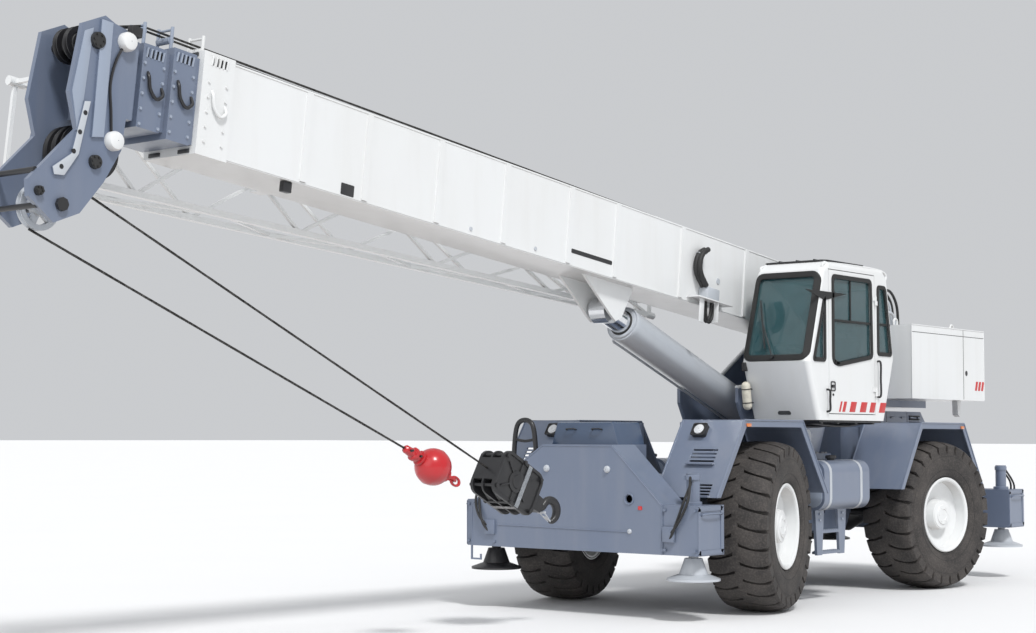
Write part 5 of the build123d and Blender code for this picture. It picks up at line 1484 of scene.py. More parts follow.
@dataclass
class Boom:
    """Fittings along the boom: combs, hoses, posts, hoist rope, a painted-shade strip for the slot and hose bracket."""

    shop: Workshop
    side_y: float = 0.258
    stiffener_y: float = 0.273
    depth: float = 0.736
    # body, middle station, half width and top of each collar
    collars: tuple[tuple[Body, float, float, float], ...] = (
        (Body.BOOM_BASE, 8.070, 0.283, 0.751), (Body.BOOM_2, 8.365, 0.250, 0.703),
        (Body.BOOM_3, 8.615, 0.222, 0.670),
    )
    stiffeners: tuple[float, ...] = (7.127, 6.445, 5.570, 4.685, 3.747, 3.015, 1.900, 0.700, -0.500)

    def build(self) -> None:
        """Build all of the boom's fittings."""
        for index, collar in enumerate(self.collars):
            self._collar(index, *collar)
        self._beads()
        self._marks()
        self._hose_bracket()
        self._hoist_rope()
        self._wear_pads()

    def _collar(self, index: int, body: Body, middle: float, half: float, top: float) -> None:
        """Comb teeth with black backs of painted shade in their slots, hose and rope posts of one collar."""
        teeth = Finish.WHITE if index == 0 else Finish.PALE_GREY
        # Painted shade: black backs make the slots between the comb teeth dark.
        with self.shop.making(f"comb_shade_backs_{index}", Finish.BLACK, body) as bm:
            for side in (1, -1):
                centre = on_boom(middle, side * (half - 0.0065), top - 0.062)
                add_block(bm, (0, 0, 0), (0.150, 0.003, 0.066), 0.0, Matrix.Translation(centre) @ self._turn())
        with self.shop.making(f"comb_teeth_{index}", teeth, body) as bm:
            for side in (1, -1):
                for step in range(5):
                    station = middle + (step - 2) * 0.036
                    start = on_boom(station, side * (half - 0.002), top - 0.095)
                    end = on_boom(station, side * (half + 0.010), top - 0.028)
                    add_rod(bm, start, end, 0.0085, 10)
            for side in (1, -1):
                for height in (0.09, 0.20, 0.31, 0.42, 0.53):
                    for reach in (-0.085, 0.085):
                        at = on_boom(middle + reach, side * half, height)
                        add_bolt(bm, at, BOOM.to_3x3() @ Vector((0, side, 0)), 0.012)
        hose = Finish.WHITE if index == 0 else Finish.BLACK
        with self.shop.making(f"collar_hoses_{index}", hose, body) as bm:
            out = half + 0.022
            for side in (1, -1):
                run = [
                    (middle + 0.045, half - 0.004, 0.470), (middle + 0.050, out, 0.430),
                    (middle + 0.030, out, 0.350), (middle - 0.030, out, 0.292),
                    (middle - 0.085, out, 0.330), (middle - 0.085, half - 0.004, 0.385),
                ]
                add_tube(bm, [on_boom(s, side * y, n) for s, y, n in run], 0.013, 10, 6)
        with self.shop.making(f"rope_posts_{index}", teeth, body) as bm:
            high = top + (0.175, 0.205, 0.200)[index]
            for y in (-0.075, 0.075):
                add_tube(bm, [on_boom(middle, y, top - 0.01), on_boom(middle, y, top + 0.08), on_boom(middle, y, high)], 0.013, 10, 4)
                add_block(bm, (0, 0, 0), (0.07, 0.05, 0.012), 0.003, Matrix.Translation(on_boom(middle, y, top + 0.003)) @ self._turn())
            add_rod(bm, on_boom(middle, -0.075, high - 0.02), on_boom(middle, 0.075, high - 0.02), 0.010, 12)
            add_rod(bm, on_boom(middle, -0.070, self._rope_height(middle) - 0.037), on_boom(middle, 0.070, self._rope_height(middle) - 0.037), 0.026, 20)

    @staticmethod
    def _turn() -> Matrix:
        """Turn of the boom without its place."""
        return BOOM.to_3x3().to_4x4()

    @staticmethod
    def _rope_height(station: float) -> float:
        """Height of the hoist rope over the boom at a station."""
        return 0.790 + (station + 1.6) / 9.65 * 0.055

    def _beads(self) -> None:
        """Weld beads along the box's edges and beside its stiffeners."""
        with self.shop.making("boom_beads", Finish.WHITE, Body.BOOM_BASE) as bm:
            for side in (1, -1):
                for height in (0.012, self.depth - 0.012):
                    add_rod(bm, on_boom(-1.94, side * self.side_y, height), on_boom(7.92, side * self.side_y, height), 0.006, 8)
                for station in self.stiffeners:
                    for edge in (-0.032, 0.032):
                        foot = on_boom(station + edge, side * (self.side_y + 0.001), 0.03)
                        head = on_boom(station + edge, side * (self.side_y + 0.001), 0.706)
                        add_rod(bm, foot, head, 0.004, 6)

    def _marks(self) -> None:
        """Blank plate, a black strip of painted shade for the slot, plugs and the bracket under the boom."""
        with self.shop.making("boom_dark_fittings", Finish.BLACK, Body.BOOM_BASE) as bm:
            for side in (1, -1):
                place = boom_view(side * self.side_y, side)
                add_plate(bm, [(6.560, 0.020), (6.705, 0.020), (6.705, 0.112), (6.560, 0.112)], 0.004, place, 0.008, 0.001)
                # Painted shade: a thin black strip stands for the dark inside of the slot.
                add_plate(bm, [(3.060, 0.126), (3.700, 0.126), (3.700, 0.166), (3.060, 0.166)], 0.002, place, 0.015)
            add_block(bm, (0, 0, 0), (0.085, 0.055, 0.085), 0.008, Matrix.Translation(on_boom(7.250, 0.215, -0.043)) @ self._turn())
        with self.shop.making("boom_plugs", Finish.SILVER, Body.BOOM_BASE) as bm:
            for station, height, radius in ((1.215, 0.300, 0.034), (4.225, 0.060, 0.020), (5.120, 0.060, 0.020)):
                for side in (1, -1):
                    start = on_boom(station, side * (self.side_y - 0.002), height)
                    end = on_boom(station, side * (self.side_y + 0.008), height)
                    add_rod(bm, start, end, radius, 28, radius * 0.85)

    def _hose_bracket(self) -> None:
        """Bent hose bundle over a hanging bracket on the cab's side."""
        with self.shop.making("hose_bundle", Finish.HOSE, Body.BOOM_BASE) as bm:
            for y in (0.300, 0.345):
                run = [(1.560, 0.560), (1.650, 0.505), (1.695, 0.410), (1.675, 0.300), (1.560, 0.190)]
                add_tube(bm, [on_boom(s, y, n) for s, n in run], 0.027, 12, 6)
            for reach in (0.0, 0.05):
                run = [(1.580 - reach, 0.04), (1.560 - reach, -0.10), (1.510 - reach, -0.165), (1.450 - reach, -0.10), (1.430 - reach, 0.04)]
                add_tube(bm, [on_boom(s, 0.330, n) for s, n in run], 0.014, 10, 6)
        with self.shop.making("hose_clamp", Finish.SILVER, Body.BOOM_BASE) as bm:
            add_block(bm, (0, 0, 0), (0.230, 0.110, 0.120), 0.012, Matrix.Translation(on_boom(1.450, 0.312, 0.125)) @ self._turn())
            run = [(1.55, 0.545), (1.66, 0.49)]
            for s, n in run:
                add_ring(bm, aim(on_boom(s, 0.30, n), on_boom(s + 0.09, 0.30, n - 0.06)), 0.030, 0.004, 24, 6)
        with self.shop.making("hose_bracket", Finish.WHITE, Body.BOOM_BASE) as bm:
            place = self._turn()
            add_block(bm, (0, 0, 0), (0.640, 0.150, 0.014), 0.003, Matrix.Translation(on_boom(1.450, 0.330, 0.052)) @ place)
            add_block(bm, (0, 0, 0), (0.075, 0.014, 0.250), 0.003, Matrix.Translation(on_boom(1.655, 0.365, -0.068)) @ place)
            add_block(bm, (0, 0, 0), (0.014, 0.090, 0.210), 0.003, Matrix.Translation(on_boom(1.385, 0.345, -0.050)) @ place)

    def _hoist_rope(self) -> None:
        """Hoist rope over the posts on the boom's back, a run for each section."""
        ends = [(Body.BOOM_BASE, -1.600, 8.070), (Body.BOOM_2, 8.070, 8.365), (Body.BOOM_3, 8.365, 8.615)]
        for body, start, end in ends:
            with self.shop.making(f"back_rope_{body.value}", Finish.WIRE, body, 60.0) as bm:
                for y in (-0.035, 0.035):
                    lay_rope(bm, on_boom(start, y, self._rope_height(start)), on_boom(end, y, self._rope_height(end)))
        with self.shop.making("tip_rope", Finish.WIRE, Body.BOOM_TIP, 60.0) as bm:
            for y in (-0.035, 0.035):
                lay_rope(bm, on_boom(8.615, y, self._rope_height(8.615)), on_boom(9.100, y * 1.57, 0.690))
        with self.shop.making("tail_roller", Finish.STEEL, Body.BOOM_BASE) as bm:
            add_rod(bm, on_boom(-1.600, -0.12, self._rope_height(-1.6) - 0.05), on_boom(-1.600, 0.12, self._rope_height(-1.6) - 0.05), 0.038, 28)
            for y in (-0.13, 0.13):
                add_block(bm, (0, 0, 0), (0.10, 0.016, 0.10), 0.006, Matrix.Translation(on_boom(-1.6, y, 0.76)) @ self._turn())

    def _wear_pads(self) -> None:
        """Sliding pads and their screws at the mouth of each section."""
        with self.shop.making("wear_pads", Finish.PLASTIC, Body.BOOM_BASE) as bm:
            for y in (-0.16, 0.16):
                for height in (0.010, 0.727):
                    add_block(bm, (0, 0, 0), (0.012, 0.120, 0.030), 0.003, Matrix.Translation(on_boom(8.224, y, height)) @ self._turn())


def lay_rope(bm: bmesh.types.BMesh, start: Vector, end: Vector, radius: float = 0.0095) -> None:
    """Add a straight rope of six twisted strands between two points."""
    lay, strands = 0.11, 6
    length = (end - start).length
    place = aim(start, end)
    turns = length / lay
    steps = max(int(turns * 8), 4)
    strand_radius = radius * 0.36
    for index in range(strands):
        phase = math.tau * index / strands
        path = []
        for step in range(steps + 1):
            angle = phase + math.tau * turns * step / steps
            reach = radius - strand_radius
            local = (reach * math.cos(angle), reach * math.sin(angle), length * step / steps)
            path.append(place @ Vector(local))
        add_strand(bm, path, strand_radius)


@dataclass
class Head:
    """Boom head: grooved sheaves, caps, bands, pins and the rope guard."""

    shop: Workshop
    plate_y: float = 0.245
    band_y: float = 0.261
    # station, height, radius, number and pitch across of the black sheaves
    sheaves: tuple[tuple[float, float, float, int, float], ...] = (
        (8.990, -0.170, 0.200, 4, 0.090), (9.140, 0.560, 0.125, 2, 0.110),
    )
    rooster: tuple[float, float, float] = (9.290, -0.613, 0.160)

    def build(self) -> None:
        """Build the head's fittings."""
        with self.shop.making(
            "grooved_sheaves", Finish.BLACK, Body.BOOM_TIP, 35.0, ["head_sheaves"]
        ) as bm:
            for station, height, radius, count, pitch in self.sheaves:
                for index in range(count):
                    y = (index - (count - 1) / 2) * pitch
                    self._sheave(bm, station, y, height, radius)
                add_rod(bm, on_boom(station, -0.204, height), on_boom(station, 0.204, height), 0.040, 32)
        self._rooster_wheel()
        self._caps()
        self._bands()

    def _sheave(self, bm: bmesh.types.BMesh, station: float, y: float, height: float, radius: float) -> None:
        """One sheave with a rope groove and a thin web."""
        place = boom_view(y) @ Matrix.Translation((station, height, 0.0))
        half = [
            (radius - 0.022, 0.006), (radius - 0.001, 0.017), (radius, 0.024), (radius - 0.038, 0.024),
            (radius - 0.052, 0.012), (0.085, 0.012), (0.074, 0.025), (0.042, 0.025),
        ]
        profile = [(r, -h) for r, h in reversed(half)] + half
        add_lathe(bm, profile, place, 56, closed=True)

    def _rooster_wheel(self) -> None:
        """Pale spoked wheel at the end of the lower arm, with its pin and rope guard."""
        station, height, radius = self.rooster
        centre = boom_view(0.0) @ Matrix.Translation((station, height, 0.0))
        with self.shop.making(
            "rooster_wheel", Finish.SILVER, Body.BOOM_TIP, 35.0, ["head_sheaves"]
        ) as bm:
            rim = [
                (radius - 0.040, -0.022), (radius, -0.025), (radius, -0.018), (radius - 0.022, -0.006),
                (radius - 0.022, 0.006), (radius, 0.018), (radius, 0.025), (radius - 0.040, 0.022),
            ]
            add_lathe(bm, rim, centre, 56, closed=True)
            hub = [(0.026, -0.028), (0.058, -0.028), (0.062, 0.0), (0.058, 0.028), (0.026, 0.028)]
            add_lathe(bm, hub, centre, 40, closed=True)
            for turn in range(5):
                spoke = centre @ Matrix.Rotation(math.tau * turn / 5, 4, "Z")
                add_block(bm, (0.088, 0.0, 0.0), (0.078, 0.062, 0.026), 0.008, spoke)
        with self.shop.making("rooster_pin", Finish.BLACK, Body.BOOM_TIP) as bm:
            add_rod(bm, on_boom(station, -0.262, height), on_boom(station, 0.262, height), 0.030, 28)
            for y in (-0.275, 0.275):
                inner = on_boom(station, y * 0.9, height)
                add_rod(bm, inner, on_boom(station, y, height), 0.048, 8)
            for s, n in ((9.505, -0.420), (9.460, -0.650)):
                add_rod(bm, on_boom(s, -0.225, n), on_boom(s, 0.225, n), 0.020, 20)

    def _caps(self) -> None:
        """White caps, pin plates and bolts on both head plates."""
        with self.shop.making("head_caps", Finish.WHITE, Body.BOOM_TIP) as bm:
            profile = [(0.068, -0.004), (0.068, 0.040), (0.058, 0.058), (0.040, 0.066), (0.003, 0.069)]
            for side in (1, -1):
                for station, height in ((8.900, 0.615), (8.925, -0.095)):
                    place = boom_view(side * self.plate_y, side) @ Matrix.Translation((station, height, 0))
                    add_lathe(bm, profile, place, 36)
        with self.shop.making("head_pins", Finish.DARK_STEEL, Body.BOOM_TIP) as bm:
            for side in (1, -1):
                face = self.band_y
                for station, height, radius in ((9.140, 0.560, 0.060), (9.055, -0.270, 0.050), (9.480, -0.560, 0.034)):
                    out = BOOM.to_3x3() @ Vector((0, side, 0))
                    start = on_boom(station, side * (face - 0.018), height)
                    add_rod(bm, start, start + out * 0.030, radius, 36, radius * 0.92)
                    for turn in range(6):
                        angle = math.tau * turn / 6
                        reach = radius * 0.68
                        at = on_boom(station + reach * math.cos(angle), side * face, height + reach * math.sin(angle))
                        add_bolt(bm, at + out * 0.012, out, 0.008)
        with self.shop.making("head_switches", Finish.BLACK, Body.BOOM_TIP) as bm:
            for side in (1, -1):
                at = on_boom(8.850, side * (self.plate_y + 0.028), 0.700)
                add_block(bm, (0, 0, 0), (0.095, 0.060, 0.075), 0.010, Matrix.Translation(at) @ BOOM.to_3x3().to_4x4())
            run = [(8.86, 0.66), (8.96, 0.50), (9.00, 0.30), (8.97, 0.10), (8.95, -0.04)]
            add_tube(bm, [on_boom(s, self.plate_y + 0.012, n) for s, n in run], 0.010, 8, 6)

    def _bands(self) -> None:
        """Pale band down each head plate and the arm beside it, with black discs of painted shade for its holes."""
        band = [(9.012, -0.088), (9.108, -0.108), (9.128, 0.713), (9.032, 0.713)]
        fold = [(9.180, 0.640), (9.250, 0.600), (9.300, 0.170), (9.230, -0.070), (9.200, 0.120)]
        arm = [
            (9.150, 0.128), (9.198, 0.118), (9.258, -0.258), (9.398, -0.380), (9.380, -0.428),
            (9.300, -0.418), (9.202, -0.250),
        ]
        with self.shop.making("head_bands", Finish.PALE_GREY, Body.BOOM_TIP) as bm:
            for side in (1, -1):
                add_plate(bm, band, 0.003, boom_view(side * self.band_y, side), bevel=0.001)
                add_plate(bm, fold, 0.006, boom_view(side * self.plate_y, side), bevel=0.002)
        with self.shop.making("head_arms", Finish.SILVER, Body.BOOM_TIP) as bm:
            for side in (1, -1):
                add_plate(bm, arm, 0.003, boom_view(side * self.band_y, side), bevel=0.001)
        # Painted shade: black discs on the arm stand for the dark insides of its holes.
        with self.shop.making("head_arm_hole_shade", Finish.BLACK, Body.BOOM_TIP) as bm:
            for side in (1, -1):
                for station, height in ((9.185, 0.040), (9.212, -0.100), (9.245, -0.240), (9.330, -0.365)):
                    start = on_boom(station, side * (self.band_y + 0.001), height)
                    end = on_boom(station, side * (self.band_y + 0.0045), height)
                    add_rod(bm, start, end, 0.017, 20)


# ------------------------------------------------------------------ hook block and ball


@dataclass
class Tackle:
    """Hook block, load hook and ball, each in line with the rope that holds it."""

    shop: Workshop
    block: Point3 = (4.747, 0.390, 1.235)
    ball: Point3 = (5.845, 0.516, 1.385)
    length: float = 0.540
    height: float = 0.400
    half_width: float = 0.130
    hook_centre: Point2 = (-0.586, -0.034)
    hook_radius: float = 0.0935

    def build(self) -> None:
        """Build the tackle."""
        self._cheeks()
        self._strap()
        self._hook()
        self._ball()

    def _place(self) -> Matrix:
        """Matrix of the block: local X along the hoist ropes, local Z across the crane."""
        origin = crane(*self.block)
        along = (on_boom(8.990, 0.0, -0.170) - origin).normalized()
        out = -along.cross(Vector((0, 0, 1))).normalized()
        turn = Matrix((along, out.cross(along), out)).transposed().to_4x4()
        return Matrix.Translation(origin) @ turn

    def _outline(self, shrink: float) -> list[Point2]:
        """Corners of a cheek, drawn in by a distance."""
        x, y = self.length / 2 - shrink, self.height / 2 - shrink
        return [(-x, -y), (x, -y), (x, y), (-x, y)]

    def _cheeks(self) -> None:
        """Raised rims, ribs, axle caps and tie bolts of the cheeks."""
        place = self._place()
        with self.shop.making("block_cheeks", Finish.BLACK, Body.BOOM_TIP) as bm:
            for side in (1, -1):
                face = place @ Matrix.Translation((0, 0, side * self.half_width))
                if side < 0:
                    face = face @ Matrix.Diagonal((1, 1, -1, 1))
                add_plate(bm, self._outline(0.0), 0.012, face, 0.088, 0.003, 0.028)
                cap = [(0.092, -0.002), (0.092, 0.010), (0.060, 0.014), (0.056, 0.022), (0.003, 0.024)]
                add_lathe(bm, cap, face @ Matrix.Translation((0.025, 0, 0)), 40)
                for turn in (35, 90, 145, 215, 270, 325):
                    rib = face @ Matrix.Translation((0.025, 0, 0)) @ Matrix.Rotation(math.radians(turn), 4, "Z")
                    add_block(bm, (0.140, 0.0, 0.006), (0.105, 0.014, 0.014), 0.003, rib)
            for x, y in ((-0.225, 0.15), (-0.225, -0.15), (0.235, 0.14), (0.235, -0.14), (0.02, 0.187), (0.02, -0.187)):
                start, end = place @ Vector((x, y, -0.146)), place @ Vector((x, y, 0.146))
                add_rod(bm, start, end, 0.014, 16)
                for tip, out in ((start, start - end), (end, end - start)):
                    add_bolt(bm, tip, out, 0.017)
        with self.shop.making("block_sheave_rims", Finish.DARK_STEEL, Body.BOOM_TIP) as bm:
            for z in (-0.060, 0.060):
                rim = [(0.184, -0.034), (0.188, -0.030), (0.176, -0.010), (0.176, 0.010), (0.188, 0.030), (0.184, 0.034)]
                add_lathe(bm, rim, place @ Matrix.Translation((0.025, 0, z)), 64)

    def _strap(self) -> None:
        """Silver band round the block near the hook's end."""
        place = self._place()
        x, y, z = -0.085, self.height / 2 + 0.003, self.half_width + 0.016
        with self.shop.making("block_strap", Finish.SILVER, Body.BOOM_TIP) as bm:
            band = bmesh.new()
            bmesh.ops.create_grid(band, x_segments=1, y_segments=1, size=1.0)
            bmesh.ops.transform(band, matrix=Matrix.Diagonal((y, z, 1, 1)), verts=band.verts)
            bmesh.ops.bevel(
                band, geom=band.verts[:], offset=0.02, offset_type="OFFSET", segments=4, profile=0.5,
                affect="VERTICES", material=-1,
            )
            band.faces.ensure_lookup_table()
            ring = [vert.co.copy() for vert in band.faces[0].verts]
            band.free()
            outline = [(point.x, point.y) for point in ring]
            turn = Matrix(((0, 0, 1), (1, 0, 0), (0, 1, 0))).to_4x4()
            add_plate(bm, outline, 0.046, place @ Matrix.Translation((x, 0, 0)) @ turn, hole=0.004)

    def _hook(self) -> None:
        """Tapered hook with its nut and safety latch."""
        place = self._place()
        cx, cy = self.hook_centre
        run, swell = [(-0.405, 0.0, 0.0), (-0.445, -0.001, 0.0), (-0.478, -0.014, 0.0)], [0.9, 0.9, 0.92]
        for turn, share in (
            (0, 0.96), (-30, 1.0), (-60, 1.04), (-90, 1.08), (-120, 1.10), (-150, 1.08), (-180, 1.0),
            (-205, 0.86), (-225, 0.66), (-238, 0.42),
        ):
            angle = math.radians(turn)
            run.append((cx + self.hook_radius * math.cos(angle), cy + self.hook_radius * math.sin(angle), 0.0))
            swell.append(share)
        with self.shop.making("forged_hook", Finish.BLACK, Body.BOOM_TIP, 60.0, ["load_hook"]) as bm:
            add_tube(bm, [place @ Vector(point) for point in run], 0.035, 20, 5, swell)
            nut = aim(place @ Vector((-0.395, 0, 0)), place @ Vector((-0.445, 0, 0)))
            add_lathe(bm, [(0.020, 0.0), (0.050, 0.0), (0.056, 0.012), (0.050, 0.046), (0.030, 0.050)], nut, 32)
        with self.shop.making("hook_latch", Finish.SILVER, Body.BOOM_TIP) as bm:
            heel = Vector((-0.505, 0.020, 0.0))
            tip = Vector((-0.628, 0.046, 0.0))
            for z in (-0.030, 0.030):
                lift = Vector((0, 0, z))
                add_tube(bm, [place @ (heel + lift), place @ (heel.lerp(tip, 0.5) + lift * 0.8), place @ (tip + lift * 0.4)], 0.006, 8, 4)
            add_rod(bm, place @ (heel + Vector((0, 0, -0.042))), place @ (heel + Vector((0, 0, 0.042))), 0.010, 16)
            add_block(bm, (-0.585, 0.037, 0.0), (0.080, 0.008, 0.036), 0.002, place)

    def _ball(self) -> None:
        """Round weight with its swivel, socket and links."""
        centre = crane(*self.ball)
        place = aim(centre, on_boom(9.290, 0.0, -0.613))
        with self.shop.making(
            "swivel_ball", Finish.RED, Body.BOOM_TIP, 35.0, ["headache_ball"]
        ) as bm:
            arc = [-78 + 6.5 * step for step in range(25)]
            ball = [(0.150 * math.cos(math.radians(a)), 0.150 * math.sin(math.radians(a))) for a in arc]
            seam = [(r + (0.003 if abs(h) < 0.012 else 0.0), h) for r, h in ball]
            add_lathe(bm, [(0.003, -0.150)] + seam + [(0.003, 0.150)], place, 64)
            swivel = [
                (0.003, 0.140), (0.060, 0.142), (0.062, 0.165), (0.044, 0.172), (0.044, 0.205),
                (0.056, 0.212), (0.056, 0.235), (0.038, 0.244), (0.034, 0.318), (0.022, 0.332),
                (0.003, 0.333),
            ]
            add_lathe(bm, swivel, place, 40)
            neck = [(0.003, -0.138), (0.052, -0.140), (0.052, -0.162), (0.034, -0.172), (0.003, -0.174)]
            add_lathe(bm, neck, place, 40)
            for height, turn in ((-0.208, 0), (-0.262, 90)):
                link = place @ Matrix.Translation((0, 0, height)) @ Matrix.Rotation(math.radians(turn), 4, "Z")
                ring = link @ Matrix.Rotation(math.pi / 2, 4, "X") @ Matrix.Diagonal((0.82, 1.12, 1.0, 1.0))
                add_ring(bm, ring, 0.040, 0.0125, 32, 10)
        with self.shop.making("ball_pins", Finish.DARK_STEEL, Body.BOOM_TIP) as bm:
            for height in (0.190, 0.290):
                add_rod(bm, place @ Vector((-0.064, 0, height)), place @ Vector((0.064, 0, height)), 0.010, 6)


# ------------------------------------------------------------------ carrier


@dataclass
class Deck:
    """Front deck: cover, loop, weld ridge, rings, reflectors and jack hoses."""

    shop: Workshop
    front_x: float = 3.232
    top: float = 1.556
    cover_top: float = 1.766
    tie_down: Point2 = (0.593, 1.065)
    tie_down_bore: float = 0.036

    def build(self) -> None:
        """Build the deck's fittings."""
        self._cover()
        self._loop()
        self._face()
        self._jack_hoses()

    def _cover(self) -> None:
        """Glossy cover behind the front plate."""
        with self.shop.making("deck_cover", Finish.DEEP_BLUE, Body.CARRIER) as bm:
            outline = [
                (-0.395, self.top - 0.02), (0.395, self.top - 0.02),
                (0.325, self.cover_top), (-0.325, self.cover_top),
            ]
            add_plate(bm, outline, 0.420, front_view(2.690), 0.020, 0.020)
        with self.shop.making("cover_handles", Finish.BLACK, Body.CARRIER) as bm:
            for y in (-0.15, 0.15):
                run = [(3.10, 1.69), (3.135, 1.70), (3.135, 1.70), (3.10, 1.69)]
                points = [crane(x, y + shift, z) for (x, z), shift in zip(run, (-0.05, -0.045, 0.045, 0.05))]
                add_tube(bm, points, 0.007, 8, 6)

    def _loop(self) -> None:
        """Black guard loop on the far shoulder."""
        with self.shop.making("guard_loop", Finish.BLACK, Body.CARRIER) as bm:
            run = [(-0.785, 1.24), (-0.790, 1.50), (-0.755, 1.73), (-0.660, 1.785), (-0.565, 1.73), (-0.530, 1.52), (-0.535, 1.42)]
            add_tube(bm, [crane(self.front_x - 0.06, y, z) for y, z in run], 0.024, 14, 6)
            add_tube(bm, [crane(self.front_x - 0.06, y, z) for y, z in ((-0.775, 1.60), (-0.66, 1.585), (-0.545, 1.60))], 0.014, 10, 6)

    def _face(self) -> None:
        """Weld ridge, tie-down rings, reflectors and bolts of the front plate."""
        plane = front_view(self.front_x - 0.001)
        with self.shop.making("front_plate_welds", Finish.GREY, Body.CARRIER) as bm:
            run = [crane(self.front_x, y, 0.778 - 0.012 * (y + 0.4)) for y in (-0.95, -0.40, 0.10, 0.575)]
            add_tube(bm, run, 0.007, 8, 6)
            for side in (1, -1):
                y, z = side * self.tie_down[0], self.tie_down[1]
                ring = plane @ Matrix.Translation((y, z, 0.004))
                add_ring(bm, ring, self.tie_down_bore + 0.012, 0.008, 40, 10)
            foot = [(-1.262, 0.600), (-1.262, 0.978), (-0.400, 1.541), (0.400, 1.541), (0.945, 1.014), (0.945, 0.600)]
            for start, end in zip(foot, foot[1:]):
                add_rod(bm, crane(self.front_x, *start), crane(self.front_x, *end), 0.005, 6)
        with self.shop.making("front_pads", Finish.SILVER, Body.CARRIER) as bm:
            dome = [(0.034, 0.0), (0.032, 0.012), (0.022, 0.022), (0.003, 0.026)]
            for y, z, grow in ((0.600, 0.772, 0.7), (0.350, 1.330, 1.0), (-0.350, 1.330, 1.0)):
                add_lathe(bm, [(r * grow, h * grow) for r, h in dome], plane @ Matrix.Translation((y, z, 0)), 28)
        with self.shop.making("front_reflectors", Finish.RED_LENS, Body.CARRIER) as bm:
            for side in (1, -1):
                y, z = side * 0.716, 0.985
                add_plate(bm, [(y - 0.022, z - 0.018), (y + 0.022, z - 0.018), (y + 0.022, z + 0.018), (y - 0.022, z + 0.018)], 0.008, plane, 0.008, 0.003)

    def _jack_hoses(self) -> None:
        """Hoses, valve blocks and pad eyes on every jack housing."""
        for end, x, facing in (("front", 3.020, 1), ("rear", -3.680, -1)):
            for side, sign in (("left", 1), ("right", -1)):
                body = f"beam_{end}_{side}"
                with self.shop.making(f"jack_hoses_{end}_{side}", Finish.HOSE, body) as bm:
                    for reach, rise in ((0.030, 0.0), (0.070, 0.05)):
                        run = [
                            (x + facing * 0.215, 1.030, 0.700 + rise), (x + facing * 0.250, 1.080 + reach, 0.820 + rise),
                            (x + facing * 0.200, 1.150 + reach, 1.060), (x + facing * 0.075, 1.165, 1.200 + rise),
                            (x + facing * 0.050, 1.150, 1.220 + rise),
                        ]
                        add_tube(bm, [crane(a, sign * b, c) for a, b, c in run], 0.012, 8, 6)
                with self.shop.making(f"jack_fittings_{end}_{side}", Finish.GREY, body) as bm:
                    tube = Matrix.Translation(crane(x, sign * 1.140, 0.0))
                    for low, high, radius in ((1.020, 1.050, 0.088), (1.245, 1.290, 0.070)):
                        profile = [(0.058, low), (radius, low), (radius, high - 0.006), (radius - 0.006, high), (0.058, high)]
                        add_lathe(bm, profile, tube, 40)
                    add_block(bm, crane(x + facing * 0.222, sign * 1.030, 0.760), (0.030, 0.120, 0.140), 0.006)
                    for y in (0.980, 1.300):
                        for z in (0.620, 0.975):
                            add_bolt(bm, crane(x + facing * 0.212, sign * y, z), Vector((facing, 0, 0)), 0.014)
                    run = [(x - 0.15, 1.345, 0.930), (x - 0.13, 1.385, 0.945), (x + 0.13, 1.385, 0.945), (x + 0.15, 1.345, 0.930)]
                    add_tube(bm, [crane(a, sign * (b - 0.020), c) for a, b, c in run], 0.009, 8, 6)
                    edge = [(x - 0.205, 0.585), (x + 0.205, 0.585), (x + 0.205, 1.010), (x - 0.205, 1.010)]
                    add_plate(bm, edge, 0.006, side_view(sign * 1.330, sign), 0.012, 0.002, 0.040)


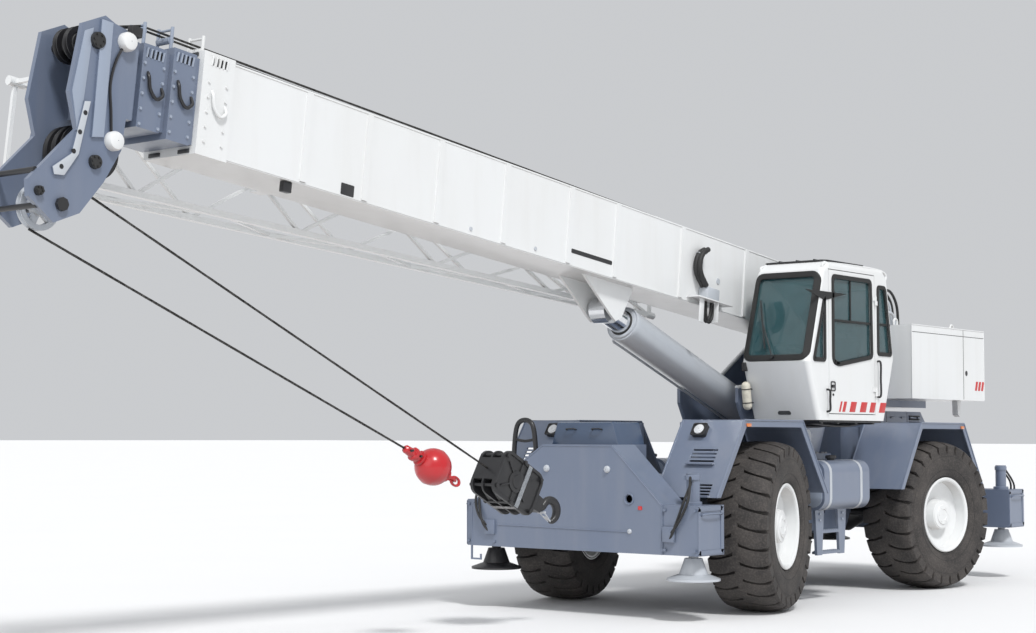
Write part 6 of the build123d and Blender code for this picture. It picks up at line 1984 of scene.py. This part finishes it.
@dataclass
class Fenders:
    """Lamps, braces, treads and edge rolls of the fenders."""

    shop: Workshop
    outer_y: float = 1.290
    inner_y: float = 0.610
    top: float = 1.785
    foot: float = 1.080
    half_top: float = 0.539
    half_foot: float = 1.023

    def build(self) -> None:
        """Build the fenders' fittings on both sides of each axle."""
        for end, x in (("front", 1.826), ("rear", -1.816)):
            with self.shop.making(f"fender_rolls_{end}", Finish.GREY, Body.CARRIER) as bm:
                self._rolls(bm, x)
                mirror_across(bm)
            with self.shop.making(f"fender_bolts_{end}", Finish.PALE_GREY, Body.CARRIER) as bm:
                for reach in (-0.30, 0.30):
                    for shift in (-0.05, 0.05):
                        for y in (0.70, 0.78):
                            add_bolt(bm, crane(x + reach + shift, y, self.top), Vector((0, 0, 1)), 0.011)
                mirror_across(bm)
        self._lamps()
        self._treads()

    def _rolls(self, bm: bmesh.types.BMesh, x: float) -> None:
        """Rolled edges along the fender and a stiffening rib across its top."""
        run = [(x - self.half_foot, self.foot), (x - self.half_top, self.top), (x + self.half_top, self.top), (x + self.half_foot, self.foot)]
        for start, end in zip(run, run[1:]):
            add_rod(bm, crane(start[0], self.outer_y, start[1]), crane(end[0], self.outer_y, end[1]), 0.009, 10)
            add_rod(bm, crane(start[0], self.inner_y, start[1]), crane(end[0], self.inner_y, end[1]), 0.009, 10)
        for reach in (-0.30, 0.30):
            middle = (self.outer_y + self.inner_y) / 2
            add_block(bm, crane(x + reach, middle, self.top + 0.003), (0.060, self.outer_y - self.inner_y - 0.03, 0.010), 0.003)

    def _lamps(self) -> None:
        """Head lamps on the front fenders, tail lamps and side markers on the rear ones."""
        slope = (self.half_foot - self.half_top, 0.0, self.foot - self.top)
        front = basis(crane(1.826 + self.half_top, 0.860, self.top), (0, 1, 0), [-v for v in slope])
        rear = basis(crane(-1.816 - self.half_top, 0.860, self.top), (0, -1, 0), (slope[0], 0, -slope[2]))
        case = [(-0.075, -0.195), (0.075, -0.195), (0.075, -0.065), (-0.075, -0.065)]
        for name, finish, grow, lift, deep in (
            ("lamp_cases", Finish.BLACK, 0.0, 0.0, 0.045), ("lamp_rims", Finish.BLACK, 0.004, 0.040, 0.010),
        ):
            with self.shop.making(name, finish, Body.CARRIER) as bm:
                for place in (front, rear):
                    hole = 0.014 if lift else 0.0
                    add_plate(bm, grown(case, grow), deep, place @ Matrix.Translation((0, 0, lift)), 0.02, 0.003, hole)
                mirror_across(bm)
        for name, finish, place in (
            ("head_lamps", Finish.CLEAR_LENS, front), ("tail_lamps", Finish.RED_LENS, rear),
        ):
            with self.shop.making(name, finish, Body.CARRIER) as bm:
                dome = [(0.054, 0.040), (0.050, 0.050), (0.030, 0.056), (0.003, 0.058)]
                add_lathe(bm, dome, place @ Matrix.Translation((0, -0.130, 0)), 36)
                mirror_across(bm)
        with self.shop.making("side_markers", Finish.AMBER_LENS, Body.CARRIER) as bm:
            for x in (2.30, -2.30):
                z = self.top - 0.045
                add_block(bm, crane(x, self.outer_y + 0.006, z), (0.075, 0.016, 0.032), 0.005)
            mirror_across(bm)

    def _treads(self) -> None:
        """Grip studs on the fender tops."""
        with self.shop.making("grip_studs", Finish.PALE_GREY, Body.CARRIER) as bm:
            for x in (1.826, -1.816):
                for row in range(9):
                    for column in range(7):
                        at = crane(x - 0.20 + row * 0.05, 0.90 + column * 0.05, self.top)
                        add_rod(bm, at - Vector((0, 0, 0.001)), at + Vector((0, 0, 0.003)), 0.009, 8, 0.006)
            mirror_across(bm)


@dataclass
class Hood:
    """Engine hood: seams, hinges, latches, rear grille, vents, exhaust and breather."""

    shop: Workshop
    half_width: float = 0.418
    top: float = 1.930
    low_top: float = 1.740
    front: float = -1.640
    low_front: float = -1.080
    rear: float = -3.250

    def build(self) -> None:
        """Build the hood's fittings."""
        with self.shop.making("hood_seams", Finish.BLACK, Body.CARRIER) as bm:
            for x in (-2.180, -2.700):
                add_block(bm, crane(x, self.half_width, (self.top + 1.27) / 2), (0.007, 0.003, self.top - 1.29), 0.0)
                add_block(bm, crane(x, 0.0, self.top), (0.007, 2 * self.half_width - 0.01, 0.003), 0.0)
            for x in (-1.90, -2.44, -2.95):
                add_block(bm, crane(x, self.half_width + 0.008, 1.545), (0.085, 0.016, 0.036), 0.006)
            mirror_across(bm)
        with self.shop.making("hood_hinges", Finish.GREY, Body.CARRIER) as bm:
            for x in (-1.80, -2.05, -2.32, -2.58, -2.80, -3.00):
                add_rod(bm, crane(x - 0.04, self.half_width + 0.006, 1.860), crane(x + 0.04, self.half_width + 0.006, 1.860), 0.010, 12)
            mirror_across(bm)
        self._grille()
        self._vents()

    def _grille(self) -> None:
        """Slatted radiator grille in the rear end."""
        with self.shop.making("radiator_grille", Finish.BLACK, Body.CARRIER) as bm:
            for level in range(11):
                z = 1.315 + level * 0.036
                blade = Matrix.Translation(crane(self.rear - 0.008, 0.0, z)) @ Matrix.Rotation(math.radians(28), 4, "Y")
                add_block(bm, (0, 0, 0), (0.026, 0.68, 0.005), 0.0, blade)
            add_block(bm, crane(self.rear - 0.001, 0.0, 1.495), (0.004, 0.70, 0.42), 0.0)
        with self.shop.making("grille_frame", Finish.GREY, Body.CARRIER) as bm:
            place = basis(crane(self.rear, 0.0, 1.495), (0, -1, 0), (0, 0, 1))
            add_plate(bm, [(-0.375, -0.225), (0.375, -0.225), (0.375, 0.225), (-0.375, 0.225)], 0.026, place, 0.03, 0.005, 0.036)

    def _vents(self) -> None:
        """Slats over the side vents, the exhaust pipe and the breather cap."""
        with self.shop.making("hood_vents", Finish.BLACK, Body.CARRIER) as bm:
            for level in range(4):
                z = self.top - 0.110 + (level - 1.5) * 0.036
                blade = Matrix.Translation(crane(-2.880, self.half_width + 0.004, z + 0.008)) @ Matrix.Rotation(math.radians(-32), 4, "X")
                add_block(bm, (0, 0, 0), (0.268, 0.024, 0.003), 0.0, blade)
            mirror_across(bm)
        with self.shop.making("exhaust_pipe", Finish.DARK_STEEL, Body.CARRIER) as bm:
            run = [(-1.25, -0.410, 1.60), (-1.25, -0.465, 1.60), (-1.28, -0.500, 1.60), (-1.40, -0.510, 1.60)]
            add_tube(bm, [crane(*point) for point in run], 0.034, 20, 6)
            add_ring(bm, side_view(-0.424) @ Matrix.Translation((-1.25, 1.60, 0.0)), 0.042, 0.008, 32, 8)
        with self.shop.making("breather_cap", Finish.BLACK, Body.CARRIER) as bm:
            cap = [(0.045, 0.0), (0.045, 0.006), (0.070, 0.008), (0.072, 0.018), (0.060, 0.024), (0.003, 0.025)]
            add_lathe(bm, cap, Matrix.Translation(crane(-1.30, 0.18, self.low_top)), 36)


@dataclass
class Upper:
    """Upper works: counterweight trim, slew ring bolts, winch rope and hoses behind the cab."""

    shop: Workshop
    half_width: float = 1.050
    bottom: float = 2.060
    top: float = 2.880
    front: float = -1.560
    rear: float = -3.450

    def build(self) -> None:
        """Build the upper works' fittings."""
        self._counterweight()
        self._ring_bolts()
        self._winches()
        self._hoses()

    def _counterweight(self) -> None:
        """Seams, lifting eyes, hangers and stripes of the counterweight."""
        middle = (self.front + self.rear) / 2
        with self.shop.making("counterweight_seams", Finish.BLACK, Body.UPPER) as bm:
            add_block(bm, crane(-2.885, self.half_width, (self.top + self.bottom) / 2), (0.008, 0.003, self.top - self.bottom - 0.02), 0.0)
            add_block(bm, crane(middle, self.half_width, 2.800), (self.front - self.rear - 0.02, 0.003, 0.006), 0.0)
            add_rod(bm, crane(-2.960, self.half_width - 0.002, 2.375), crane(-2.960, self.half_width + 0.003, 2.375), 0.030, 28)
            mirror_across(bm)
        with self.shop.making("counterweight_trim", Finish.WHITE, Body.UPPER) as bm:
            for x in (-1.75, -3.20):
                eye = side_view(0.76) @ Matrix.Translation((x, self.top + 0.036, 0.0))
                add_ring(bm, eye, 0.044, 0.012, 32, 8)
            for x in (self.front, self.rear):
                add_rod(bm, crane(x, self.half_width, self.bottom + 0.01), crane(x, self.half_width, self.top - 0.01), 0.006, 8)
            add_rod(bm, crane(self.front, self.half_width, self.top), crane(self.rear, self.half_width, self.top), 0.006, 8)
            hanger = [(-3.440, self.bottom + 0.01), (-3.340, self.bottom + 0.01), (-3.350, 1.900), (-3.415, 1.870)]
            add_plate(bm, hanger, 0.070, side_view(0.690), 0.01, 0.006)
            mirror_across(bm)
        with self.shop.making("counterweight_stripes", Finish.STRIPE_RED, Body.UPPER) as bm:
            for foot in (-3.245, -3.330, -3.415):
                bar = [(foot, 2.178), (foot + 0.055, 2.178), (foot + 0.020, 2.284), (foot - 0.035, 2.284)]
                add_plate(bm, bar, 0.002, side_view(self.half_width), bevel=0.0005)
            mirror_across(bm)
        with self.shop.making("counterweight_bolts", Finish.STEEL, Body.UPPER) as bm:
            for x in (-1.70, -2.20, -2.70, -3.20):
                add_bolt(bm, crane(x, 0.62, self.top), Vector((0, 0, 1)), 0.022)
            for z in (2.16, 2.78):
                for y in (0.55, 0.95):
                    add_bolt(bm, crane(self.rear, y, z), Vector((-1, 0, 0)), 0.020)
            mirror_across(bm)

    def _ring_bolts(self) -> None:
        """Bolts round the slew ring and the turntable's foot."""
        with self.shop.making("slew_ring_bolts", Finish.STEEL, Body.CARRIER) as bm:
            for index in range(30):
                angle = math.tau * index / 30
                at = crane(0.655 * math.cos(angle), 0.655 * math.sin(angle), 1.250)
                add_bolt(bm, at, Vector((0, 0, 1)), 0.014)
        with self.shop.making("turntable_bolts", Finish.STEEL, Body.UPPER) as bm:
            for index in range(30):
                angle = math.tau * (index + 0.5) / 30
                at = crane(0.725 * math.cos(angle), 0.725 * math.sin(angle), 1.460)
                add_bolt(bm, at, Vector((0, 0, 1)), 0.014)
        with self.shop.making("frame_edge_bars", Finish.WHITE, Body.UPPER) as bm:
            edge = [(0.98, 2.13), (0.30, 2.20), (-1.15, 3.08), (-1.80, 3.08), (-2.06, 2.70), (-3.30, 2.60)]
            for start, end in zip(edge, edge[1:]):
                add_rod(bm, crane(start[0], 0.352, start[1]), crane(end[0], 0.352, end[1]), 0.022, 10)
            mirror_across(bm)

    def _winches(self) -> None:
        """Rope wound on the drums, and flange rims."""
        with self.shop.making("wound_rope", Finish.WIRE, Body.UPPER, 60.0) as bm:
            for x in (-2.150, -2.800):
                for turn in range(13):
                    place = side_view(-0.228 + turn * 0.0385) @ Matrix.Translation((x, 2.330, 0.0))
                    add_ring(bm, place, 0.186, 0.019, 40, 8)
        with self.shop.making("winch_rims", Finish.DARK_STEEL, Body.UPPER) as bm:
            for x in (-2.150, -2.800):
                for y in (-0.275, 0.275):
                    add_ring(bm, side_view(y) @ Matrix.Translation((x, 2.330, 0.0)), 0.250, 0.010, 56, 8)

    def _hoses(self) -> None:
        """Hoses and two standing pipes between the frame and the boom's foot."""
        with self.shop.making("foot_hoses", Finish.HOSE, Body.UPPER) as bm:
            for y, reach, low in ((0.400, 0.0, 2.50), (0.435, 0.06, 2.46), (0.470, 0.12, 2.42)):
                run = [
                    (-1.36, y, low), (-1.46 - reach / 2, y, 2.80), (-1.72 - reach, y, 3.10 + reach / 2),
                    (-2.02 - reach, y, 3.26 + reach / 2), (-2.28 - reach, y - 0.02, 3.16), (-2.36 - reach, y - 0.04, 2.80),
                ]
                add_tube(bm, [crane(*point) for point in run], 0.016, 10, 8)
        with self.shop.making("foot_pipes", Finish.SILVER, Body.UPPER) as bm:
            for y, top in ((0.520, 3.18), (0.570, 3.05)):
                run = [(-1.60, y, 2.87), (-1.66, y, 3.00), (-1.84, y, top), (-2.06, y, top - 0.02), (-2.14, y, 2.87)]
                add_tube(bm, [crane(*point) for point in run], 0.017, 12, 8)
            for x in (-1.60, -2.14):
                for y in (0.520, 0.570):
                    add_ring(bm, Matrix.Translation(crane(x, y, 2.886)), 0.022, 0.006, 24, 6)
        with self.shop.making("foot_posts", Finish.WHITE, Body.UPPER) as bm:
            for x, high in ((-1.80, 3.30), (-2.02, 3.34)):
                add_block(bm, crane(x, 0.400, (high + 2.60) / 2), (0.060, 0.022, high - 2.60), 0.005)
            add_block(bm, crane(-1.91, 0.400, 3.285), (0.30, 0.020, 0.050), 0.005)


@dataclass
class Flanks:
    """Side tanks, ladder, axles and jib between and round the wheels."""

    shop: Workshop

    def build(self) -> None:
        """Build the flank's fittings."""
        self._tanks()
        self._ladder()
        self._axles()
        self._jib()

    def _tanks(self) -> None:
        """Straps, filler caps and end plates of the side tanks."""
        with self.shop.making("tank_straps", Finish.SILVER, Body.CARRIER) as bm:
            for x in (-0.02, 0.62):
                outline = [(0.641, 0.896), (1.239, 0.896), (1.239, 1.400), (0.641, 1.400)]
                add_plate(bm, outline, 0.045, front_view(x), 0.122, 0.0, 0.004)
            mirror_across(bm)
        with self.shop.making("filler_caps", Finish.BLACK, Body.CARRIER) as bm:
            for x, y in ((0.30, 1.05), (0.45, -1.05)):
                cap = [(0.040, -0.01), (0.040, 0.014), (0.056, 0.018), (0.056, 0.042), (0.048, 0.050), (0.003, 0.052)]
                add_lathe(bm, cap, Matrix.Translation(crane(x, y, 1.396)), 32)
        with self.shop.making("tank_ends", Finish.PALE_GREY, Body.CARRIER) as bm:
            outline = [(0.672, 0.928), (1.208, 0.928), (1.208, 1.368), (0.672, 1.368)]
            add_plate(bm, outline, 0.008, front_view(0.769), 0.10, 0.004)
            end = [(-y, z) for y, z in reversed(outline)]
            rear = Matrix.Translation(crane(-0.179, 0, 0)) @ Matrix(((0, 0, -1), (-1, 0, 0), (0, 1, 0))).to_4x4()
            add_plate(bm, end, 0.008, rear, 0.10, 0.004)
            mirror_across(bm)

    def _ladder(self) -> None:
        """Grip plates on the ladder's rungs, with bolts at its feet."""
        with self.shop.making("ladder_grips", Finish.PALE_GREY, Body.CARRIER) as bm:
            for z in (0.4825, 0.6925):
                for step in range(11):
                    add_block(bm, crane(0.21 + step * 0.04, 1.060, z + 0.003), (0.012, 0.084, 0.010), 0.002)
            for x in (0.18, 0.64):
                for z in (0.80, 0.86):
                    add_bolt(bm, crane(x, 1.105, z), Vector((0, 1, 0)), 0.014)

    def _axles(self) -> None:
        """Differential covers and steering cylinders."""
        with self.shop.making("differential_covers", Finish.DARK_STEEL, Body.CARRIER) as bm:
            for x, facing in ((1.826, 1), (-1.816, -1)):
                place = basis(crane(x + facing * 0.205, 0.0, 0.785), (0, facing, 0), (0, 0, 1))
                cover = [(0.150, -0.01), (0.148, 0.030), (0.120, 0.055), (0.060, 0.068), (0.003, 0.070)]
                add_lathe(bm, cover, place, 48)
                for turn in range(12):
                    angle = math.tau * turn / 12
                    at = place @ Vector((0.133 * math.cos(angle), 0.133 * math.sin(angle), 0.036))
                    add_bolt(bm, at, Vector((facing, 0, 0)), 0.011)
        with self.shop.making("steering_rams", Finish.BLACK, Body.CARRIER) as bm:
            for x, facing in ((1.826, -1), (-1.816, 1)):
                for side in (1, -1):
                    start = crane(x + facing * 0.170, side * 0.14, 0.800)
                    end = crane(x + facing * 0.185, side * 0.50, 0.800)
                    add_rod(bm, start, end, 0.042, 24)
        with self.shop.making("steering_rods", Finish.CHROME, Body.CARRIER) as bm:
            for x, facing in ((1.826, -1), (-1.816, 1)):
                for side in (1, -1):
                    start = crane(x + facing * 0.185, side * 0.50, 0.800)
                    end = crane(x + facing * 0.190, side * 0.640, 0.800)
                    add_rod(bm, start, end, 0.020, 20)

    def _jib(self) -> None:
        """Sleeves and pins of the stowed jib."""
        with self.shop.making("jib_sleeves", Finish.WHITE, Body.BOOM_BASE) as bm:
            for station, side_y, middle, high in ((9.02, 0.21, 0.08, 0.35), (1.30, 0.09, 0.06, 0.09)):
                for across in (-1, 1):
                    for up in (-1, 1):
                        at = (station, -0.600 + across * side_y, middle + up * high)
                        add_rod(bm, on_boom(at[0] - 0.07, *at[1:]), on_boom(at[0] + 0.06, *at[1:]), 0.036, 20)
        with self.shop.making("jib_pins", Finish.STEEL, Body.BOOM_BASE) as bm:
            for station in (2.60, 6.90):
                for height in (0.075, 0.165):
                    at = on_boom(station, -0.262, height)
                    for reach in (-0.075, 0.075):
                        add_bolt(bm, on_boom(station + reach, -0.262, height), Vector((0, -1, 0)), 0.016)
                    add_rod(bm, at, on_boom(station, -0.300, height), 0.012, 12)


@dataclass
class Cylinder:
    """Lift cylinder: gland, wiper ring, collars and feed pipes."""

    shop: Workshop
    barrel_radius: float = 0.172
    rod_radius: float = 0.112
    gland_back: float = 0.330

    def build(self) -> None:
        """Build the cylinder's fittings."""
        length = (LIFT_HEAD - LIFT_FOOT).length
        mouth = length - self.gland_back
        place = aim(LIFT_FOOT, LIFT_HEAD)
        with self.shop.making("barrel_collars", Finish.SILVER, Body.LIFT_BARREL) as bm:
            radius = self.barrel_radius
            for low, high, grow in ((mouth - 0.05, mouth + 0.004, 0.004), (0.118, 0.190, 0.004)):
                profile = [
                    (radius - 0.004, low), (radius + grow, low + 0.004), (radius + grow, high - 0.008),
                    (radius + grow - 0.003, high), (radius - 0.004, high),
                ]
                add_lathe(bm, profile, place, 64)
            gland = [(self.rod_radius + 0.001, mouth), (self.rod_radius + 0.044, mouth + 0.001), (self.rod_radius + 0.040, mouth + 0.020), (self.rod_radius + 0.001, mouth + 0.022)]
            add_lathe(bm, gland, place, 64)
        with self.shop.making("barrel_pipe", Finish.SILVER, Body.LIFT_BARREL) as bm:
            for turn in (200, 222):
                angle = math.radians(turn)
                out = Vector((math.cos(angle), math.sin(angle), 0.0))
                run = [(radius - 0.01, mouth - 0.10), (radius + 0.030, mouth - 0.12), (radius + 0.030, mouth - 0.40), (radius + 0.030, 0.60), (radius + 0.030, 0.30), (radius - 0.01, 0.26)]
                add_tube(bm, [place @ (out * reach + Vector((0, 0, along))) for reach, along in run], 0.013, 10, 6)
        with self.shop.making("rod_wiper", Finish.SEAL, Body.LIFT_BARREL) as bm:
            seal = [(self.rod_radius + 0.0005, mouth + 0.018), (self.rod_radius + 0.016, mouth + 0.020), (self.rod_radius + 0.0005, mouth + 0.034)]
            add_lathe(bm, seal, place, 64)


# ------------------------------------------------------------------ base finishes

NODE_FINISH = {
    Finish.WHITE: (
        "boom_base", "cab_shell", "cab_door", "counterweight", "jib",
    ),
    Finish.GREY: (
        "chassis", "front_deck", "outrigger_box_front", "outrigger_box_rear", "fenders_front",
        "fenders_rear", "engine_hood", "side_tanks", "ladder", "turntable", "cab_mount",
        "boom_head", "boom_section_2", "boom_section_3", "boom_section_4",
        "outrigger_beam_front_left", "outrigger_beam_front_right",
        "outrigger_beam_rear_left", "outrigger_beam_rear_right",
    ),
    Finish.CHROME: ("lift_rod",),
    # Painted shade: the right-hand outrigger jacks are drawn black, while the left-hand ones keep the jacks' silver
    # paint.
    Finish.BLACK: (
        "axle_front", "axle_rear", "hook_block", "load_hook", "winches", "head_sheaves",
        "outrigger_jack_front_right", "outrigger_jack_rear_right",
    ),
    Finish.SILVER: (
        "lift_barrel", "outrigger_jack_front_left", "outrigger_jack_rear_left",
    ),
    Finish.DARK_STEEL: (
        "slew_ring", "engine", "knuckle_front_left", "knuckle_front_right",
        "knuckle_rear_left", "knuckle_rear_right",
    ),
    Finish.RED: ("headache_ball",),
    Finish.CLOTH: ("operator_seat",),
    Finish.GLASS: ("cab_glass", "door_glass"),
}


def main() -> None:
    """Build the whole crane's looks."""
    logging.basicConfig(level=logging.INFO, format="%(name)s: %(message)s")
    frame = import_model()
    shop = Workshop(frame)
    Studio().build()
    for finish, nodes in NODE_FINISH.items():
        for node in nodes:
            shop.finish_node(node, finish)
    for end in ("front", "rear"):
        for side in ("left", "right"):
            Wheel(shop, end, side).build()
    HoistRopes(shop).build()
    for assembly in (Cab, Seat, Boom, Head, Tackle, Deck, Fenders, Hood, Upper, Flanks, Cylinder):
        assembly(shop).build()


if __name__ == "__main__":
    main()
